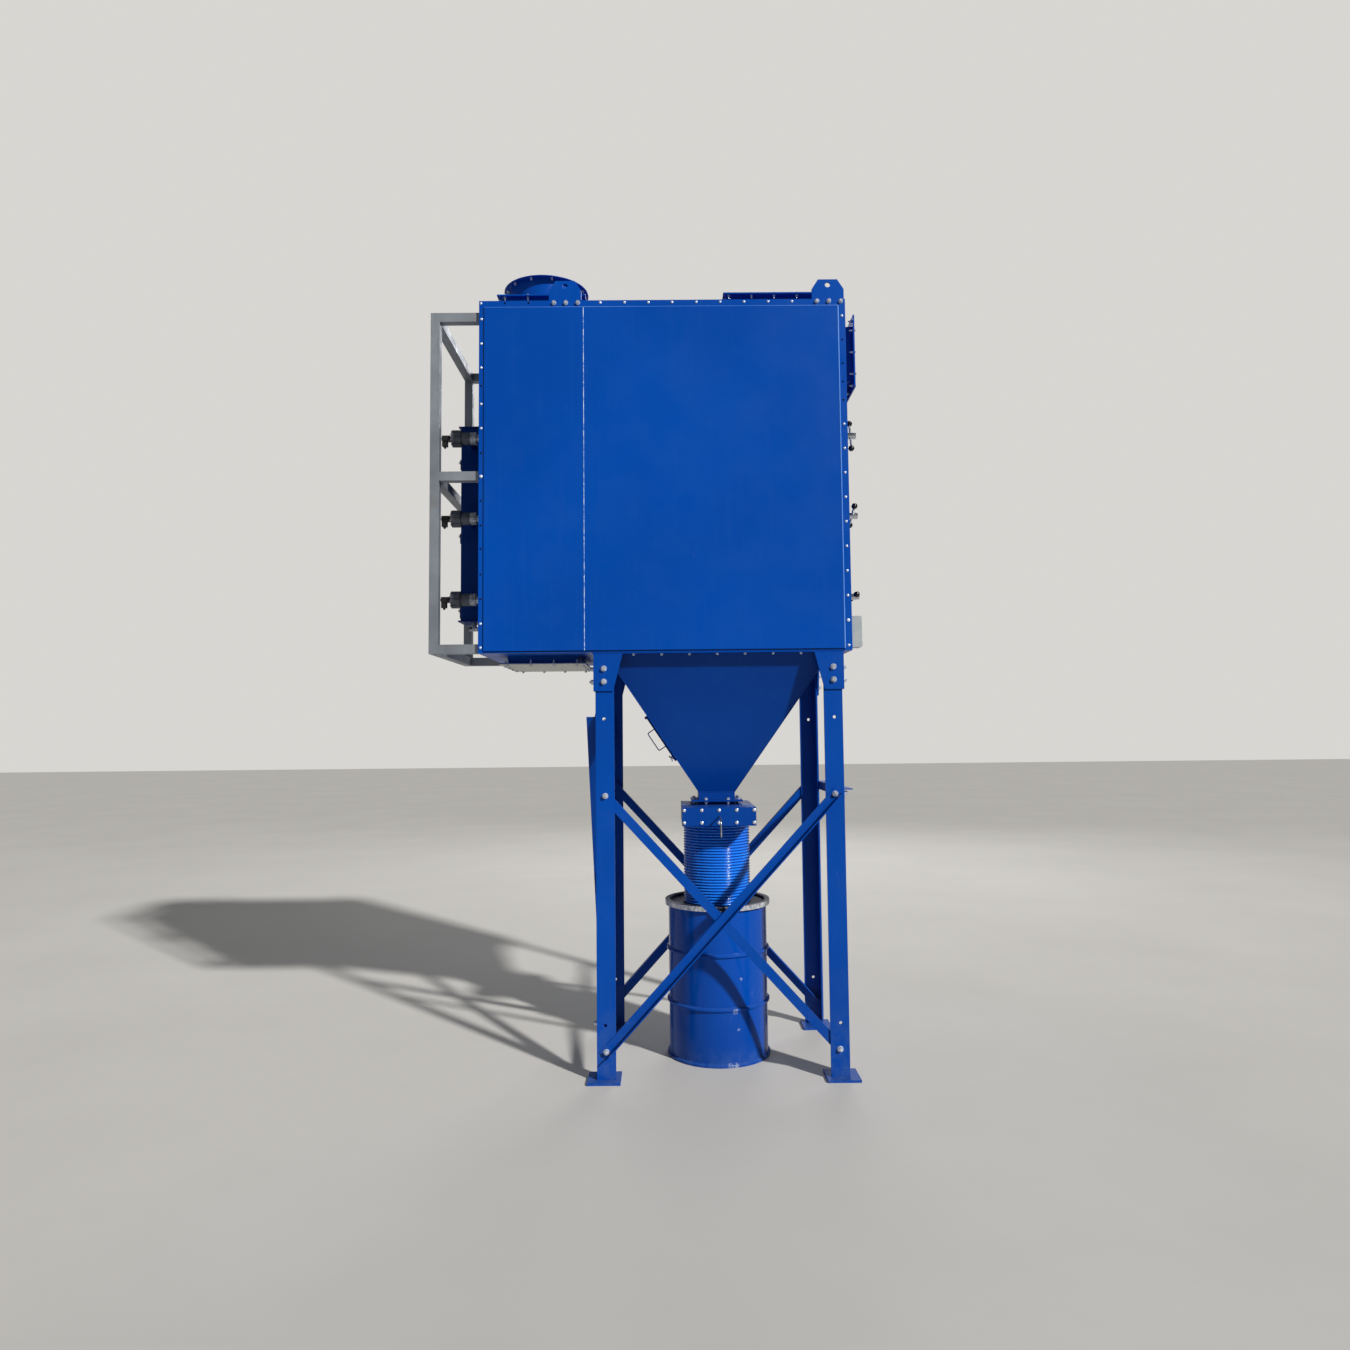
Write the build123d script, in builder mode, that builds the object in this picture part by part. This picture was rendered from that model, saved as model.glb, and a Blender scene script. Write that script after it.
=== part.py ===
from build123d import *
import math
import os

# Cartridge dust collector on four legs, in millimetres.
# The origin lies on the floor at the centre of the legs, +X to the right of the front, +Y to the back.

# Leg frame
leg_span_x = 1350.0
leg_span_y = 960.0
leg_width = 102.0
leg_thickness = 10.0
leg_hole_diameter = 18.0
leg_hole_inset = 46.0
foot_size = 178.0
foot_thickness = 13.0
foot_overhang = 51.0
anchor_hole_diameter = 22.0
anchor_hole_inset = 70.0
bracket_thickness = 10.0
bracket_height = 204.0
bracket_top_width = 160.0
bracket_bottom_width = 107.0
brace_width = 51.0
brace_thickness = 6.0
brace_bolt_inset = 25.0
front_brace_low = 159.0
front_brace_high = 1514.0
side_brace_low = 295.0
side_brace_high = 1931.0
strut_height = 1514.0

# Cabinet, as far out from the legs as these reaches say
cabinet_right_reach = 60.0
cabinet_seam_reach = 58.0
plenum_length = 582.0
cabinet_bottom = 2295.0
cabinet_height = 1980.0
wall = 5.0
panel_thickness = 3.0
panel_lap = 20.0
roof_lip = 38.0
floor_lip = 12.0
left_rim = 29.0
right_rim = 41.0
cartridge_first_rise = 332.0
cartridge_pitch_share = 0.238
cartridge_row_count = 3
cartridge_spacing_y = 480.0
cartridge_outer_diameter = 325.0
cartridge_inner_diameter = 230.0
tube_hole_diameter = 240.0

# Lifting lugs
lug_width = 180.0
lug_rise = 115.0
lug_thickness = 10.0
lug_chamfer_x = 36.0
lug_chamfer_z = 56.0
lug_hole_diameter = 30.0
lug_hole_rise = 84.0
lug_left_inset = 480.0
lug_right_inset = 95.0
lug_slot_clearance = 1.0

# Hopper
hopper_inset_x = 55.0
hopper_inset_y = 40.0
hopper_flange_lip = 5.0
hopper_flange_thickness = 8.0
hopper_outlet = 210.0
hopper_height = 779.0
hopper_wall = 5.0
neck_height = 45.0
outlet_flange = 296.0
outlet_flange_thickness = 5.0

# Hopper hatch on the left slope
hatch_length = 300.0
hatch_width = 260.0
hatch_rim = 30.0
hatch_frame_thickness = 8.0
hatch_door_thickness = 5.0
hatch_gap = 0.5
hatch_centre_height = 1820.0
hinge_pin_diameter = 8.0
hinge_barrel_diameter = 15.0
hinge_clearance = 0.4
hinge_ear_gap = 1.0
hinge_ear_width = 12.0
hinge_leaf_lap = 1.0
hatch_handle_length = 122.0
hatch_handle_reach = 46.0
hatch_handle_diameter = 6.0
hatch_handle_rise = 14.0
hatch_handle_bend = 8.0

# Slide gate
gate_width = 412.0
gate_back = 206.0
gate_height = 102.0
gate_plate = 8.0
gate_neck_height = 18.0
gate_opening = 198.0
gate_rail_width = 60.0
blade_thickness = 6.0
blade_margin = 16.0
blade_stop_gap = 11.0
ledge_width = 30.0
ledge_thickness = 8.0
ledge_clearance = 0.5
blade_clearance = 2.0
gate_front_plate_thickness = 8.0
rod_diameter = 10.0
rod_straight = 165.0
rod_drop = 95.0
rod_droop_angle = 80.0
rod_hole_clearance = 1.0
gate_travel = 214.0

# Hose and drum
hose_diameter = 372.0
hose_rib_height = 9.0
hose_rib_pitch = 19.0
hose_wall = 4.0
spigot_height = 60.0
spigot_wall = 4.0
spigot_clearance = 0.5
drum_diameter = 572.0
drum_hoop_diameter = 597.0
drum_height = 878.0
drum_wall = 4.0
drum_hoop_height = 26.0
drum_hoop_levels = (310.0, 604.0)
drum_ring_diameter = 612.0
drum_ring_height = 24.0
drum_ring_wall = 3.0
drum_ring_lap = 4.0
drum_chime_height = 12.0
drum_bottom_rise = 20.0
closure_lug_spacing = 36.0
closure_lug_thickness = 16.0
closure_lug_reach = 18.0
closure_bolt_diameter = 10.0
closure_bolt_length = 76.0
lid_edge_gap = 6.0
lid_step_gap = 2.0
lid_thickness = 4.0
lid_recess = 14.0

# Round outlet on the plenum roof
outlet_inset_x = 315.0
outlet_base_width = 440.0
outlet_base_rise = 144.0
outlet_base_lip = 38.0
duct_flange_thickness = 4.0
duct_wall = 4.0
outlet_pipe_diameter = 430.0
outlet_pipe_height = 119.0
outlet_round_lip = 40.0
outlet_bolt_offset = 18.0
outlet_bolt_count = 12
outlet_bolt_diameter = 12.0

# Blanked inlets
top_inlet_inset_x = 370.0
top_inlet_x = 480.0
top_inlet_y = 440.0
top_inlet_lip = 60.0
top_inlet_rise = 137.0
side_inlet_y = 740.0
side_inlet_lip = 50.0
side_inlet_reach = 60.0
side_inlet_top_clearance = 61.0
side_inlet_cover_clearance = 39.5
blank_thickness = 4.0

# Collar under the plenum
floor_collar_inset_x = 325.0
floor_collar_x = 400.0
floor_collar_y = 530.0
floor_collar_lip = 45.0
floor_collar_drop = 44.0

# Access covers and handles on the right end
cover_diameter = 370.0
cover_thickness = 8.0
cover_opening_diameter = 335.0
cover_boss_diameter = 60.0
cover_boss_height = 14.0
stud_diameter = 16.0
stud_length = 52.0
hub_diameter = 38.0
hub_length = 70.0
hub_bore_clearance = 0.5
hub_gap = 0.5
handle_bar_diameter = 13.0
handle_ball_diameter = 35.0
handle_bar_span = 168.0
handle_bar_offset = 40.0
handle_turns = (0.0, 28.0, 153.0, 75.0, 73.0, 12.0)

# Control box on the right end
control_box_inset = 20.0
control_box_width = 95.0
control_box_depth = 55.0
control_box_rise = 20.0
control_box_height = 171.0

# Compressed air header and pulse valves on the left end
header_centre_offset = 120.0
header_width = 140.0
header_corner = 10.0
header_below_row = 107.0
header_above_row = 127.0
header_plate_lip = 11.0
header_plate_thickness = 8.0
nipple_diameter = 42.0
valve_body_diameter = 72.0
valve_body_length = 52.0
valve_boss_diameter = 48.0
valve_boss_reach = 46.0
bonnet_diameter = 98.0
bonnet_length = 55.0
bonnet_grooves = 8
bonnet_groove_diameter = 10.0
coil_width = 40.0
coil_height = 32.0
coil_length = 46.0
coil_corner = 5.0
plug_width = 28.0
plug_drop = 30.0
plug_length = 30.0
coil_stem_diameter = 20.0
coil_stem_length = 12.0
blow_pipe_diameter = 48.0
coupling_diameter = 71.0
coupling_length = 34.0
coupling_grooves = 18
coupling_groove_diameter = 5.0
drain_stem_size = 30.0
drain_stem_length = 36.0
drain_body_diameter = 26.0
drain_body_length = 60.0

# Tube frame round the pulse valves
guard_tube = 51.0
guard_reach = 275.0
guard_inset_y = 25.0
guard_bottom_rise = 2.0
guard_top_drop = 57.0
guard_middle_rise = 1018.0

# Sizes worked out from the values above
leg_x = leg_span_x / 2
leg_y = leg_span_y / 2
cabinet_right = leg_x + cabinet_right_reach
cabinet_seam = -leg_x - cabinet_seam_reach
cabinet_left = cabinet_seam - plenum_length
cabinet_top = cabinet_bottom + cabinet_height
cabinet_depth = leg_span_y + 2 * bracket_thickness
cabinet_front_y = cabinet_depth / 2
first_row = cabinet_bottom + cartridge_first_rise
cartridge_pitch_z = cabinet_height * cartridge_pitch_share
cartridge_rows = [first_row + index * cartridge_pitch_z for index in range(cartridge_row_count)]
lug_left_centre = cabinet_left + lug_left_inset
lug_right_centre = cabinet_right - lug_right_inset
outlet_centre_x = cabinet_left + outlet_inset_x
outlet_base_flange = outlet_base_width + 2 * outlet_base_lip
outlet_round_flange = outlet_pipe_diameter + 2 * outlet_round_lip
outlet_bolt_circle = outlet_pipe_diameter + 2 * outlet_bolt_offset
top_inlet_centre_x = cabinet_right - top_inlet_inset_x
side_inlet_top = cabinet_top - side_inlet_top_clearance
side_inlet_low = cartridge_rows[-1] + cover_diameter / 2 + side_inlet_cover_clearance
side_inlet_centre_z = (side_inlet_top + side_inlet_low) / 2
side_inlet_z = side_inlet_top - side_inlet_low - 2 * side_inlet_lip
floor_collar_centre_x = cabinet_left + floor_collar_inset_x
hopper_top_x = leg_span_x - 2 * hopper_inset_x
hopper_top_y = leg_span_y - 2 * hopper_inset_y
hopper_flange_x = leg_span_x + 2 * (bracket_thickness + hopper_flange_lip)
header_x = cabinet_left - header_centre_offset
header_bottom = cartridge_rows[0] - header_below_row
header_top = cartridge_rows[-1] + header_above_row
flange_bottom = cabinet_bottom - hopper_flange_thickness
hopper_bottom = flange_bottom - hopper_height
neck_bottom = hopper_bottom - neck_height
gate_top = neck_bottom - outlet_flange_thickness * 2 - gate_neck_height
gate_bottom = gate_top - gate_height
hose_top = gate_bottom
base_top = cabinet_top + outlet_base_rise
outlet_base_bore = outlet_base_width - 2 * duct_wall
lid_top = drum_height
hose_bottom = lid_top - lid_recess
corners = [(sx, sy) for sx in (-1, 1) for sy in (-1, 1)]

os.makedirs("parts", exist_ok=True)


def save(part, name):
    part.label = name
    export_step(part, f"parts/{name}.step")


# Foot plates, one under each leg, with its anchor hole inside the angle
with BuildPart() as foot_plates:
    for sx, sy in corners:
        plate_x = sx * (leg_x + foot_overhang - foot_size / 2)
        plate_y = sy * (leg_y + foot_overhang - foot_size / 2)
        with BuildSketch(Plane.XY):
            with Locations((plate_x, plate_y)):
                Rectangle(foot_size, foot_size)
            with Locations((sx * (leg_x - anchor_hole_inset), sy * (leg_y - anchor_hole_inset))):
                Circle(anchor_hole_diameter / 2, mode=Mode.SUBTRACT)
        extrude(amount=foot_thickness)
save(foot_plates.part, "foot_plates")


# Legs, angles with their corner outward and free holes in their front and back faces
with BuildPart() as legs:
    for sx, sy in corners:
        with BuildSketch(Plane.XY.offset(foot_thickness)):
            with BuildLine():
                Polyline(
                    (sx * leg_x, sy * leg_y),
                    (sx * (leg_x - leg_width), sy * leg_y),
                    (sx * (leg_x - leg_width), sy * (leg_y - leg_thickness)),
                    (sx * (leg_x - leg_thickness), sy * (leg_y - leg_thickness)),
                    (sx * (leg_x - leg_thickness), sy * (leg_y - leg_width)),
                    (sx * leg_x, sy * (leg_y - leg_width)),
                    close=True,
                )
            make_face()
        extrude(amount=flange_bottom - foot_thickness)
        with BuildSketch(Plane.XZ.offset(-sy * leg_y)):
            hole_x = sx * (leg_x - leg_hole_inset)
            with Locations((hole_x, side_brace_low), (hole_x, side_brace_high)):
                Circle(leg_hole_diameter / 2)
        extrude(amount=sy * leg_thickness, mode=Mode.SUBTRACT)
save(legs.part, "legs")

# Brackets that hold the hopper flange on the legs, tapered below their top edge
with BuildPart() as leg_brackets:
    for sx, sy in corners:
        out_x = leg_x + bracket_thickness
        out_y = leg_y + bracket_thickness
        with BuildSketch(Plane.XZ.offset(-sy * leg_y)):
            with BuildLine():
                Polyline(
                    (sx * out_x, flange_bottom),
                    (sx * (out_x - bracket_top_width), flange_bottom),
                    (sx * (out_x - bracket_bottom_width), flange_bottom - bracket_height),
                    (sx * out_x, flange_bottom - bracket_height),
                    close=True,
                )
            make_face()
        extrude(amount=-sy * bracket_thickness)
        with BuildSketch(Plane.YZ.offset(sx * leg_x)):
            with BuildLine():
                Polyline(
                    (sy * out_y, flange_bottom),
                    (sy * (out_y - bracket_top_width), flange_bottom),
                    (sy * (out_y - bracket_bottom_width), flange_bottom - bracket_height),
                    (sy * out_y, flange_bottom - bracket_height),
                    close=True,
                )
            make_face()
        extrude(amount=sx * bracket_thickness)
save(leg_brackets.part, "leg_brackets")


def brace(start, end, face):
    """Angle bar from start to end, one flat side on a leg's face and the other turned away from it."""
    run = (end - start).normalized()
    across = face.cross(run)
    reach = brace_bolt_inset
    with BuildSketch(Plane(origin=start - run * reach, x_dir=across, z_dir=run)) as profile:
        with BuildLine():
            Polyline(
                (-brace_width / 2, 0),
                (brace_width / 2, 0),
                (brace_width / 2, brace_width),
                (brace_width / 2 - brace_thickness, brace_width),
                (brace_width / 2 - brace_thickness, brace_thickness),
                (-brace_width / 2, brace_thickness),
                close=True,
            )
        make_face()
    extrude(profile.sketch, amount=(end - start).length + 2 * reach)


brace_x = leg_x - leg_width / 2
brace_y = leg_y - leg_width / 2

# Crossed braces on the front, back and left side, one bar outside the legs and one inside
with BuildPart() as front_braces:
    outside = -leg_y
    inside = -leg_y + leg_thickness
    outward = Vector(0, -1, 0)
    brace(Vector(brace_x, outside, front_brace_high), Vector(-brace_x, outside, front_brace_low), outward)
    brace(Vector(-brace_x, inside, front_brace_high), Vector(brace_x, inside, front_brace_low), -outward)
save(front_braces.part, "front_braces")

with BuildPart() as back_braces:
    outside = leg_y
    inside = leg_y - leg_thickness
    outward = Vector(0, 1, 0)
    brace(Vector(brace_x, outside, front_brace_high), Vector(-brace_x, outside, front_brace_low), outward)
    brace(Vector(-brace_x, inside, front_brace_high), Vector(brace_x, inside, front_brace_low), -outward)
save(back_braces.part, "back_braces")

with BuildPart() as left_braces:
    outside = -leg_x
    inside = -leg_x + leg_thickness
    outward = Vector(-1, 0, 0)
    brace(Vector(outside, -brace_y, side_brace_high), Vector(outside, brace_y, side_brace_low), outward)
    brace(Vector(inside, brace_y, side_brace_high), Vector(inside, -brace_y, side_brace_low), -outward)
save(left_braces.part, "left_braces")

# Level strut on the right side, which leaves the way out for the drum
with BuildPart() as right_strut:
    brace(Vector(leg_x, -brace_y, strut_height), Vector(leg_x, brace_y, strut_height), Vector(1, 0, 0))
save(right_strut.part, "right_strut")

# Hopper shell with its top flange, outlet neck and outlet flange
left_slope_run = (hopper_top_x - hopper_outlet) / 2
left_slope = Vector(left_slope_run, 0, -hopper_height).normalized()
left_normal = Vector(left_slope.Z, 0, -left_slope.X)
hatch_centre = Vector(
    -(hopper_outlet / 2 + (hatch_centre_height - hopper_bottom) * left_slope_run / hopper_height),
    0,
    hatch_centre_height,
)
hatch_plane = Plane(origin=hatch_centre, x_dir=left_slope, z_dir=left_normal)
hatch_open_length = hatch_length - 2 * hatch_rim
hatch_open_width = hatch_width - 2 * hatch_rim
with BuildPart() as hopper:
    with BuildSketch(Plane.XY.offset(flange_bottom)):
        Rectangle(hopper_top_x, hopper_top_y)
    with BuildSketch(Plane.XY.offset(hopper_bottom)):
        Rectangle(hopper_outlet, hopper_outlet)
    loft()
    with BuildSketch(Plane.XY.offset(hopper_bottom)):
        Rectangle(hopper_outlet, hopper_outlet)
    extrude(amount=-neck_height)
    with BuildSketch(Plane.XY.offset(neck_bottom)):
        Rectangle(outlet_flange, outlet_flange)
    extrude(amount=-outlet_flange_thickness)
    with BuildSketch(Plane.XY.offset(flange_bottom)):
        Rectangle(hopper_flange_x, cabinet_depth)
    extrude(amount=hopper_flange_thickness)
    with BuildSketch(Plane.XY.offset(flange_bottom)):
        Rectangle(hopper_top_x - 2 * hopper_wall, hopper_top_y - 2 * hopper_wall)
    with BuildSketch(Plane.XY.offset(hopper_bottom)):
        Rectangle(hopper_outlet - 2 * hopper_wall, hopper_outlet - 2 * hopper_wall)
    loft(mode=Mode.SUBTRACT)
    with BuildSketch(Plane.XY.offset(hopper_bottom)):
        Rectangle(hopper_outlet - 2 * hopper_wall, hopper_outlet - 2 * hopper_wall)
    extrude(amount=-(neck_height + outlet_flange_thickness), mode=Mode.SUBTRACT)
    with BuildSketch(Plane.XY.offset(flange_bottom)):
        Rectangle(hopper_top_x - 2 * hopper_wall, hopper_top_y - 2 * hopper_wall)
    extrude(amount=hopper_flange_thickness, mode=Mode.SUBTRACT)
    with BuildSketch(hatch_plane):
        Rectangle(hatch_length, hatch_width)
    extrude(amount=hatch_frame_thickness)
    with BuildSketch(hatch_plane.offset(-3 * hopper_wall)):
        Rectangle(hatch_open_length, hatch_open_width)
    extrude(amount=3 * hopper_wall + hatch_frame_thickness, mode=Mode.SUBTRACT)
save(hopper.part, "hopper")

# Hatch door with its hinge at the top edge and a bent rod handle
door_plane = hatch_plane.offset(hatch_frame_thickness + hatch_gap)
hinge_offset = hatch_length / 2 + hinge_barrel_diameter / 2 + hinge_clearance
hinge_rise = hinge_barrel_diameter / 2
knuckle_length = hatch_width / 4
with BuildPart() as hatch_door:
    with BuildSketch(door_plane):
        Rectangle(hatch_length, hatch_width)
    extrude(amount=hatch_door_thickness)
    with BuildSketch(Plane(origin=door_plane.origin, x_dir=left_slope, z_dir=(0, 1, 0))):
        with Locations((-hinge_offset, hinge_rise)):
            Circle(hinge_barrel_diameter / 2)
        with BuildLine():
            Polyline(
                (-hinge_offset, 0),
                (-hatch_length / 2 + hinge_leaf_lap, 0),
                (-hatch_length / 2 + hinge_leaf_lap, hatch_door_thickness),
                (-hinge_offset, hatch_door_thickness),
                close=True,
            )
        make_face()
        with Locations((-hinge_offset, hinge_rise)):
            Circle(hinge_pin_diameter / 2 + hinge_clearance, mode=Mode.SUBTRACT)
    extrude(amount=knuckle_length / 2, both=True)
    handle_low = hatch_door_thickness
    handle_start = -hatch_handle_length / 2 - hatch_handle_rise
    with BuildLine(Plane(origin=door_plane.origin, x_dir=left_slope, z_dir=(0, 1, 0))) as handle_path:
        FilletPolyline(
            (handle_start, handle_low),
            (handle_start, handle_low + hatch_handle_reach),
            (handle_start + hatch_handle_length, handle_low + hatch_handle_reach),
            (handle_start + hatch_handle_length, handle_low),
            radius=hatch_handle_bend,
        )
    with BuildSketch(Plane(origin=handle_path.line @ 0, z_dir=handle_path.line % 0)):
        Circle(hatch_handle_diameter / 2)
    sweep()
save(hatch_door.part, "hatch_door")

# Hinge pin in two ears welded to the frame of the hatch
hinge_axis = door_plane.origin + left_slope * -hinge_offset + left_normal * hinge_rise
with BuildPart() as hatch_hinge:
    pin_plane = Plane(origin=hinge_axis, x_dir=left_slope, z_dir=(0, 1, 0))
    with BuildSketch(pin_plane):
        Circle(hinge_pin_diameter / 2)
    extrude(amount=knuckle_length / 2 + hinge_ear_gap + hinge_ear_width, both=True)
    ear_foot = hinge_rise + hatch_gap + hatch_frame_thickness
    for side in (-1, 1):
        start = side * (knuckle_length / 2 + hinge_ear_gap)
        with BuildSketch(pin_plane.offset(start)):
            Circle(hinge_barrel_diameter / 2)
            with BuildLine():
                Polyline(
                    (-hinge_barrel_diameter / 2, 0),
                    (-hinge_barrel_diameter / 2, -ear_foot),
                    (hinge_barrel_diameter / 2, -ear_foot),
                    (hinge_barrel_diameter / 2, 0),
                    close=True,
                )
            make_face()
        extrude(amount=side * hinge_ear_width)
save(hatch_hinge.part, "hatch_hinge")

# Slide gate: neck, top and bottom plates, rails, front plate, blade and rod
blade_z = gate_bottom + gate_height / 2
blade_reach = gate_opening / 2 + blade_margin
gate_front = blade_reach + gate_travel + blade_stop_gap
gate_mid_y = (gate_back - gate_front) / 2
gate_length = gate_front + gate_back
with BuildPart() as gate_top_plate:
    with BuildSketch(Plane.XY.offset(gate_top - gate_plate)):
        with Locations((0, gate_mid_y)):
            Rectangle(gate_width, gate_length)
    extrude(amount=gate_plate)
    with BuildSketch(Plane.XY.offset(gate_top)):
        Rectangle(hopper_outlet, hopper_outlet)
    extrude(amount=gate_neck_height)
    with BuildSketch(Plane.XY.offset(gate_top + gate_neck_height)):
        Rectangle(outlet_flange, outlet_flange)
    extrude(amount=outlet_flange_thickness)
    with BuildSketch(Plane.XY.offset(gate_top - gate_plate)):
        Rectangle(gate_opening, gate_opening)
    extrude(amount=gate_plate + gate_neck_height + outlet_flange_thickness, mode=Mode.SUBTRACT)
save(gate_top_plate.part, "gate_top_plate")

spigot_radius = hose_diameter / 2 - hose_wall - spigot_clearance
with BuildPart() as gate_bottom_plate:
    with BuildSketch(Plane.XY.offset(gate_bottom)):
        with Locations((0, gate_mid_y)):
            Rectangle(gate_width, gate_length)
    extrude(amount=gate_plate)
    with BuildSketch(Plane.XY.offset(gate_bottom)):
        Circle(spigot_radius)
    extrude(amount=-spigot_height)
    with BuildSketch(Plane.XY.offset(gate_bottom)):
        Circle(spigot_radius - spigot_wall)
    extrude(amount=-spigot_height, mode=Mode.SUBTRACT)
    with BuildSketch(Plane.XY.offset(gate_bottom)):
        Rectangle(gate_opening, gate_opening)
    extrude(amount=gate_plate, mode=Mode.SUBTRACT)
save(gate_bottom_plate.part, "gate_bottom_plate")

rail_height = gate_height - 2 * gate_plate
with BuildPart() as gate_rails:
    with BuildSketch(Plane.XY.offset(gate_bottom + gate_plate)):
        with Locations((0, gate_mid_y)):
            Rectangle(gate_width, gate_length)
        with Locations((0, gate_mid_y - gate_rail_width / 2)):
            Rectangle(gate_width - 2 * gate_rail_width, gate_length - gate_rail_width, mode=Mode.SUBTRACT)
    extrude(amount=rail_height)
save(gate_rails.part, "gate_rails")

with BuildPart() as gate_front_plate:
    with BuildSketch(Plane.XZ.offset(gate_front)):
        with Locations((0, blade_z)):
            Rectangle(gate_width, gate_height)
            Circle(rod_diameter / 2 + rod_hole_clearance, mode=Mode.SUBTRACT)
    extrude(amount=gate_front_plate_thickness)
save(gate_front_plate.part, "gate_front_plate")

# The blade runs on ledges of the rails, which stay clear of it
blade_width = gate_width - 2 * gate_rail_width - 2 * blade_clearance
with BuildPart() as gate_ledges:
    for side in (-1, 1):
        ledge_x = side * (gate_width / 2 - gate_rail_width - ledge_width / 2)
        for level in (-1, 1):
            near = blade_z + level * (blade_thickness / 2 + ledge_clearance)
            with BuildSketch(Plane.XY.offset(near)):
                with Locations((ledge_x, gate_mid_y - gate_rail_width / 2)):
                    Rectangle(ledge_width, gate_length - gate_rail_width)
            extrude(amount=level * ledge_thickness)
save(gate_ledges.part, "gate_ledges")

with BuildPart() as gate_blade:
    with BuildSketch(Plane.XY.offset(blade_z - blade_thickness / 2)):
        Rectangle(blade_width, 2 * blade_reach)
    extrude(amount=blade_thickness)
save(gate_blade.part, "gate_blade")

# Pull rod, straight through the front plate and then bent down
rod_start = Vector(0, -blade_reach, blade_z)
rod_bend = Vector(0, -gate_front - gate_front_plate_thickness - rod_straight, blade_z)
rod_droop = math.radians(rod_droop_angle)
rod_down = Vector(0, -math.cos(rod_droop), -math.sin(rod_droop))
rod_end = rod_bend + rod_down * rod_drop
with BuildPart() as gate_pull_rod:
    with BuildLine() as rod_path:
        FilletPolyline(rod_start, rod_bend, rod_end, radius=3 * rod_diameter)
    with BuildSketch(Plane(origin=rod_start, z_dir=(0, -1, 0))):
        Circle(rod_diameter / 2)
    sweep()
save(gate_pull_rod.part, "gate_pull_rod")

# Ribbed flexible hose between the gate and the drum lid
hose_length = hose_top - hose_bottom
rib_count = int(hose_length // hose_rib_pitch)
rib_pitch = hose_length / rib_count
hose_inner = hose_diameter / 2 - hose_wall
with BuildPart() as flexible_hose:
    with BuildSketch(Plane.XZ):
        with BuildLine():
            outline = [(hose_inner, hose_bottom), (hose_diameter / 2, hose_bottom)]
            for rib in range(rib_count):
                base = hose_bottom + rib * rib_pitch
                outline.append((hose_diameter / 2 + hose_rib_height, base + rib_pitch / 2))
                outline.append((hose_diameter / 2, base + rib_pitch))
            outline.append((hose_inner, hose_top))
            Polyline(*outline, close=True)
        make_face()
    revolve(axis=Axis.Z)
save(flexible_hose.part, "flexible_hose")

# Drum with rolling hoops and chimes
drum_radius = drum_diameter / 2
hoop_out = (drum_hoop_diameter - drum_diameter) / 2
with BuildPart() as drum_shell:
    with BuildSketch(Plane.XZ):
        with BuildLine():
            wall_line = [(drum_radius + hoop_out, 0)]
            wall_line.append((drum_radius + hoop_out, drum_chime_height))
            wall_line.append((drum_radius, drum_bottom_rise))
            for level in drum_hoop_levels:
                wall_line.append((drum_radius, level - drum_hoop_height / 2))
                wall_line.append((drum_radius + hoop_out, level - drum_hoop_height / 6))
                wall_line.append((drum_radius + hoop_out, level + drum_hoop_height / 6))
                wall_line.append((drum_radius, level + drum_hoop_height / 2))
            wall_line.append((drum_radius, drum_height - lid_thickness))
            inner = drum_radius - drum_wall
            wall_line.append((inner, drum_height - lid_thickness))
            wall_line.append((inner, drum_bottom_rise + drum_wall))
            wall_line.append((0, drum_bottom_rise + drum_wall))
            wall_line.append((0, drum_bottom_rise))
            wall_line.append((inner, drum_bottom_rise))
            wall_line.append((inner, 0))
            Polyline(*wall_line, close=True)
        make_face()
    revolve(axis=Axis.Z)
save(drum_shell.part, "drum_shell")

# Lid with a sunk middle and an open spigot that carries the hose
lid_radius = drum_ring_diameter / 2 - lid_edge_gap
lid_step = drum_radius - drum_wall - lid_step_gap
with BuildPart() as drum_lid:
    with BuildSketch(Plane.XZ):
        with BuildLine():
            Polyline(
                (spigot_radius - spigot_wall, lid_top - lid_recess + spigot_height),
                (spigot_radius, lid_top - lid_recess + spigot_height),
                (spigot_radius, lid_top - lid_recess),
                (lid_step - lid_thickness, lid_top - lid_recess),
                (lid_step - lid_thickness, lid_top),
                (lid_radius, lid_top),
                (lid_radius, lid_top - lid_thickness),
                (lid_step, lid_top - lid_thickness),
                (lid_step, lid_top - lid_recess - lid_thickness),
                (spigot_radius - spigot_wall, lid_top - lid_recess - lid_thickness),
                close=True,
            )
        make_face()
    revolve(axis=Axis.Z)
save(drum_lid.part, "drum_lid")

# Closure ring, a channel that clamps the lid on the drum
ring_out = drum_ring_diameter / 2
with BuildPart() as drum_closure_ring:
    with BuildSketch(Plane.XZ):
        with BuildLine():
            Polyline(
                (drum_radius - drum_ring_lap, lid_top),
                (drum_radius - drum_ring_lap, lid_top + drum_ring_wall),
                (ring_out, lid_top + drum_ring_wall),
                (ring_out, lid_top - drum_ring_height),
                (drum_radius, lid_top - drum_ring_height),
                (drum_radius, lid_top - drum_ring_height + drum_ring_wall),
                (ring_out - drum_ring_wall, lid_top - drum_ring_height + drum_ring_wall),
                (ring_out - drum_ring_wall, lid_top),
                close=True,
            )
        make_face()
    revolve(axis=Axis.Z)
save(drum_closure_ring.part, "drum_closure_ring")

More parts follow.
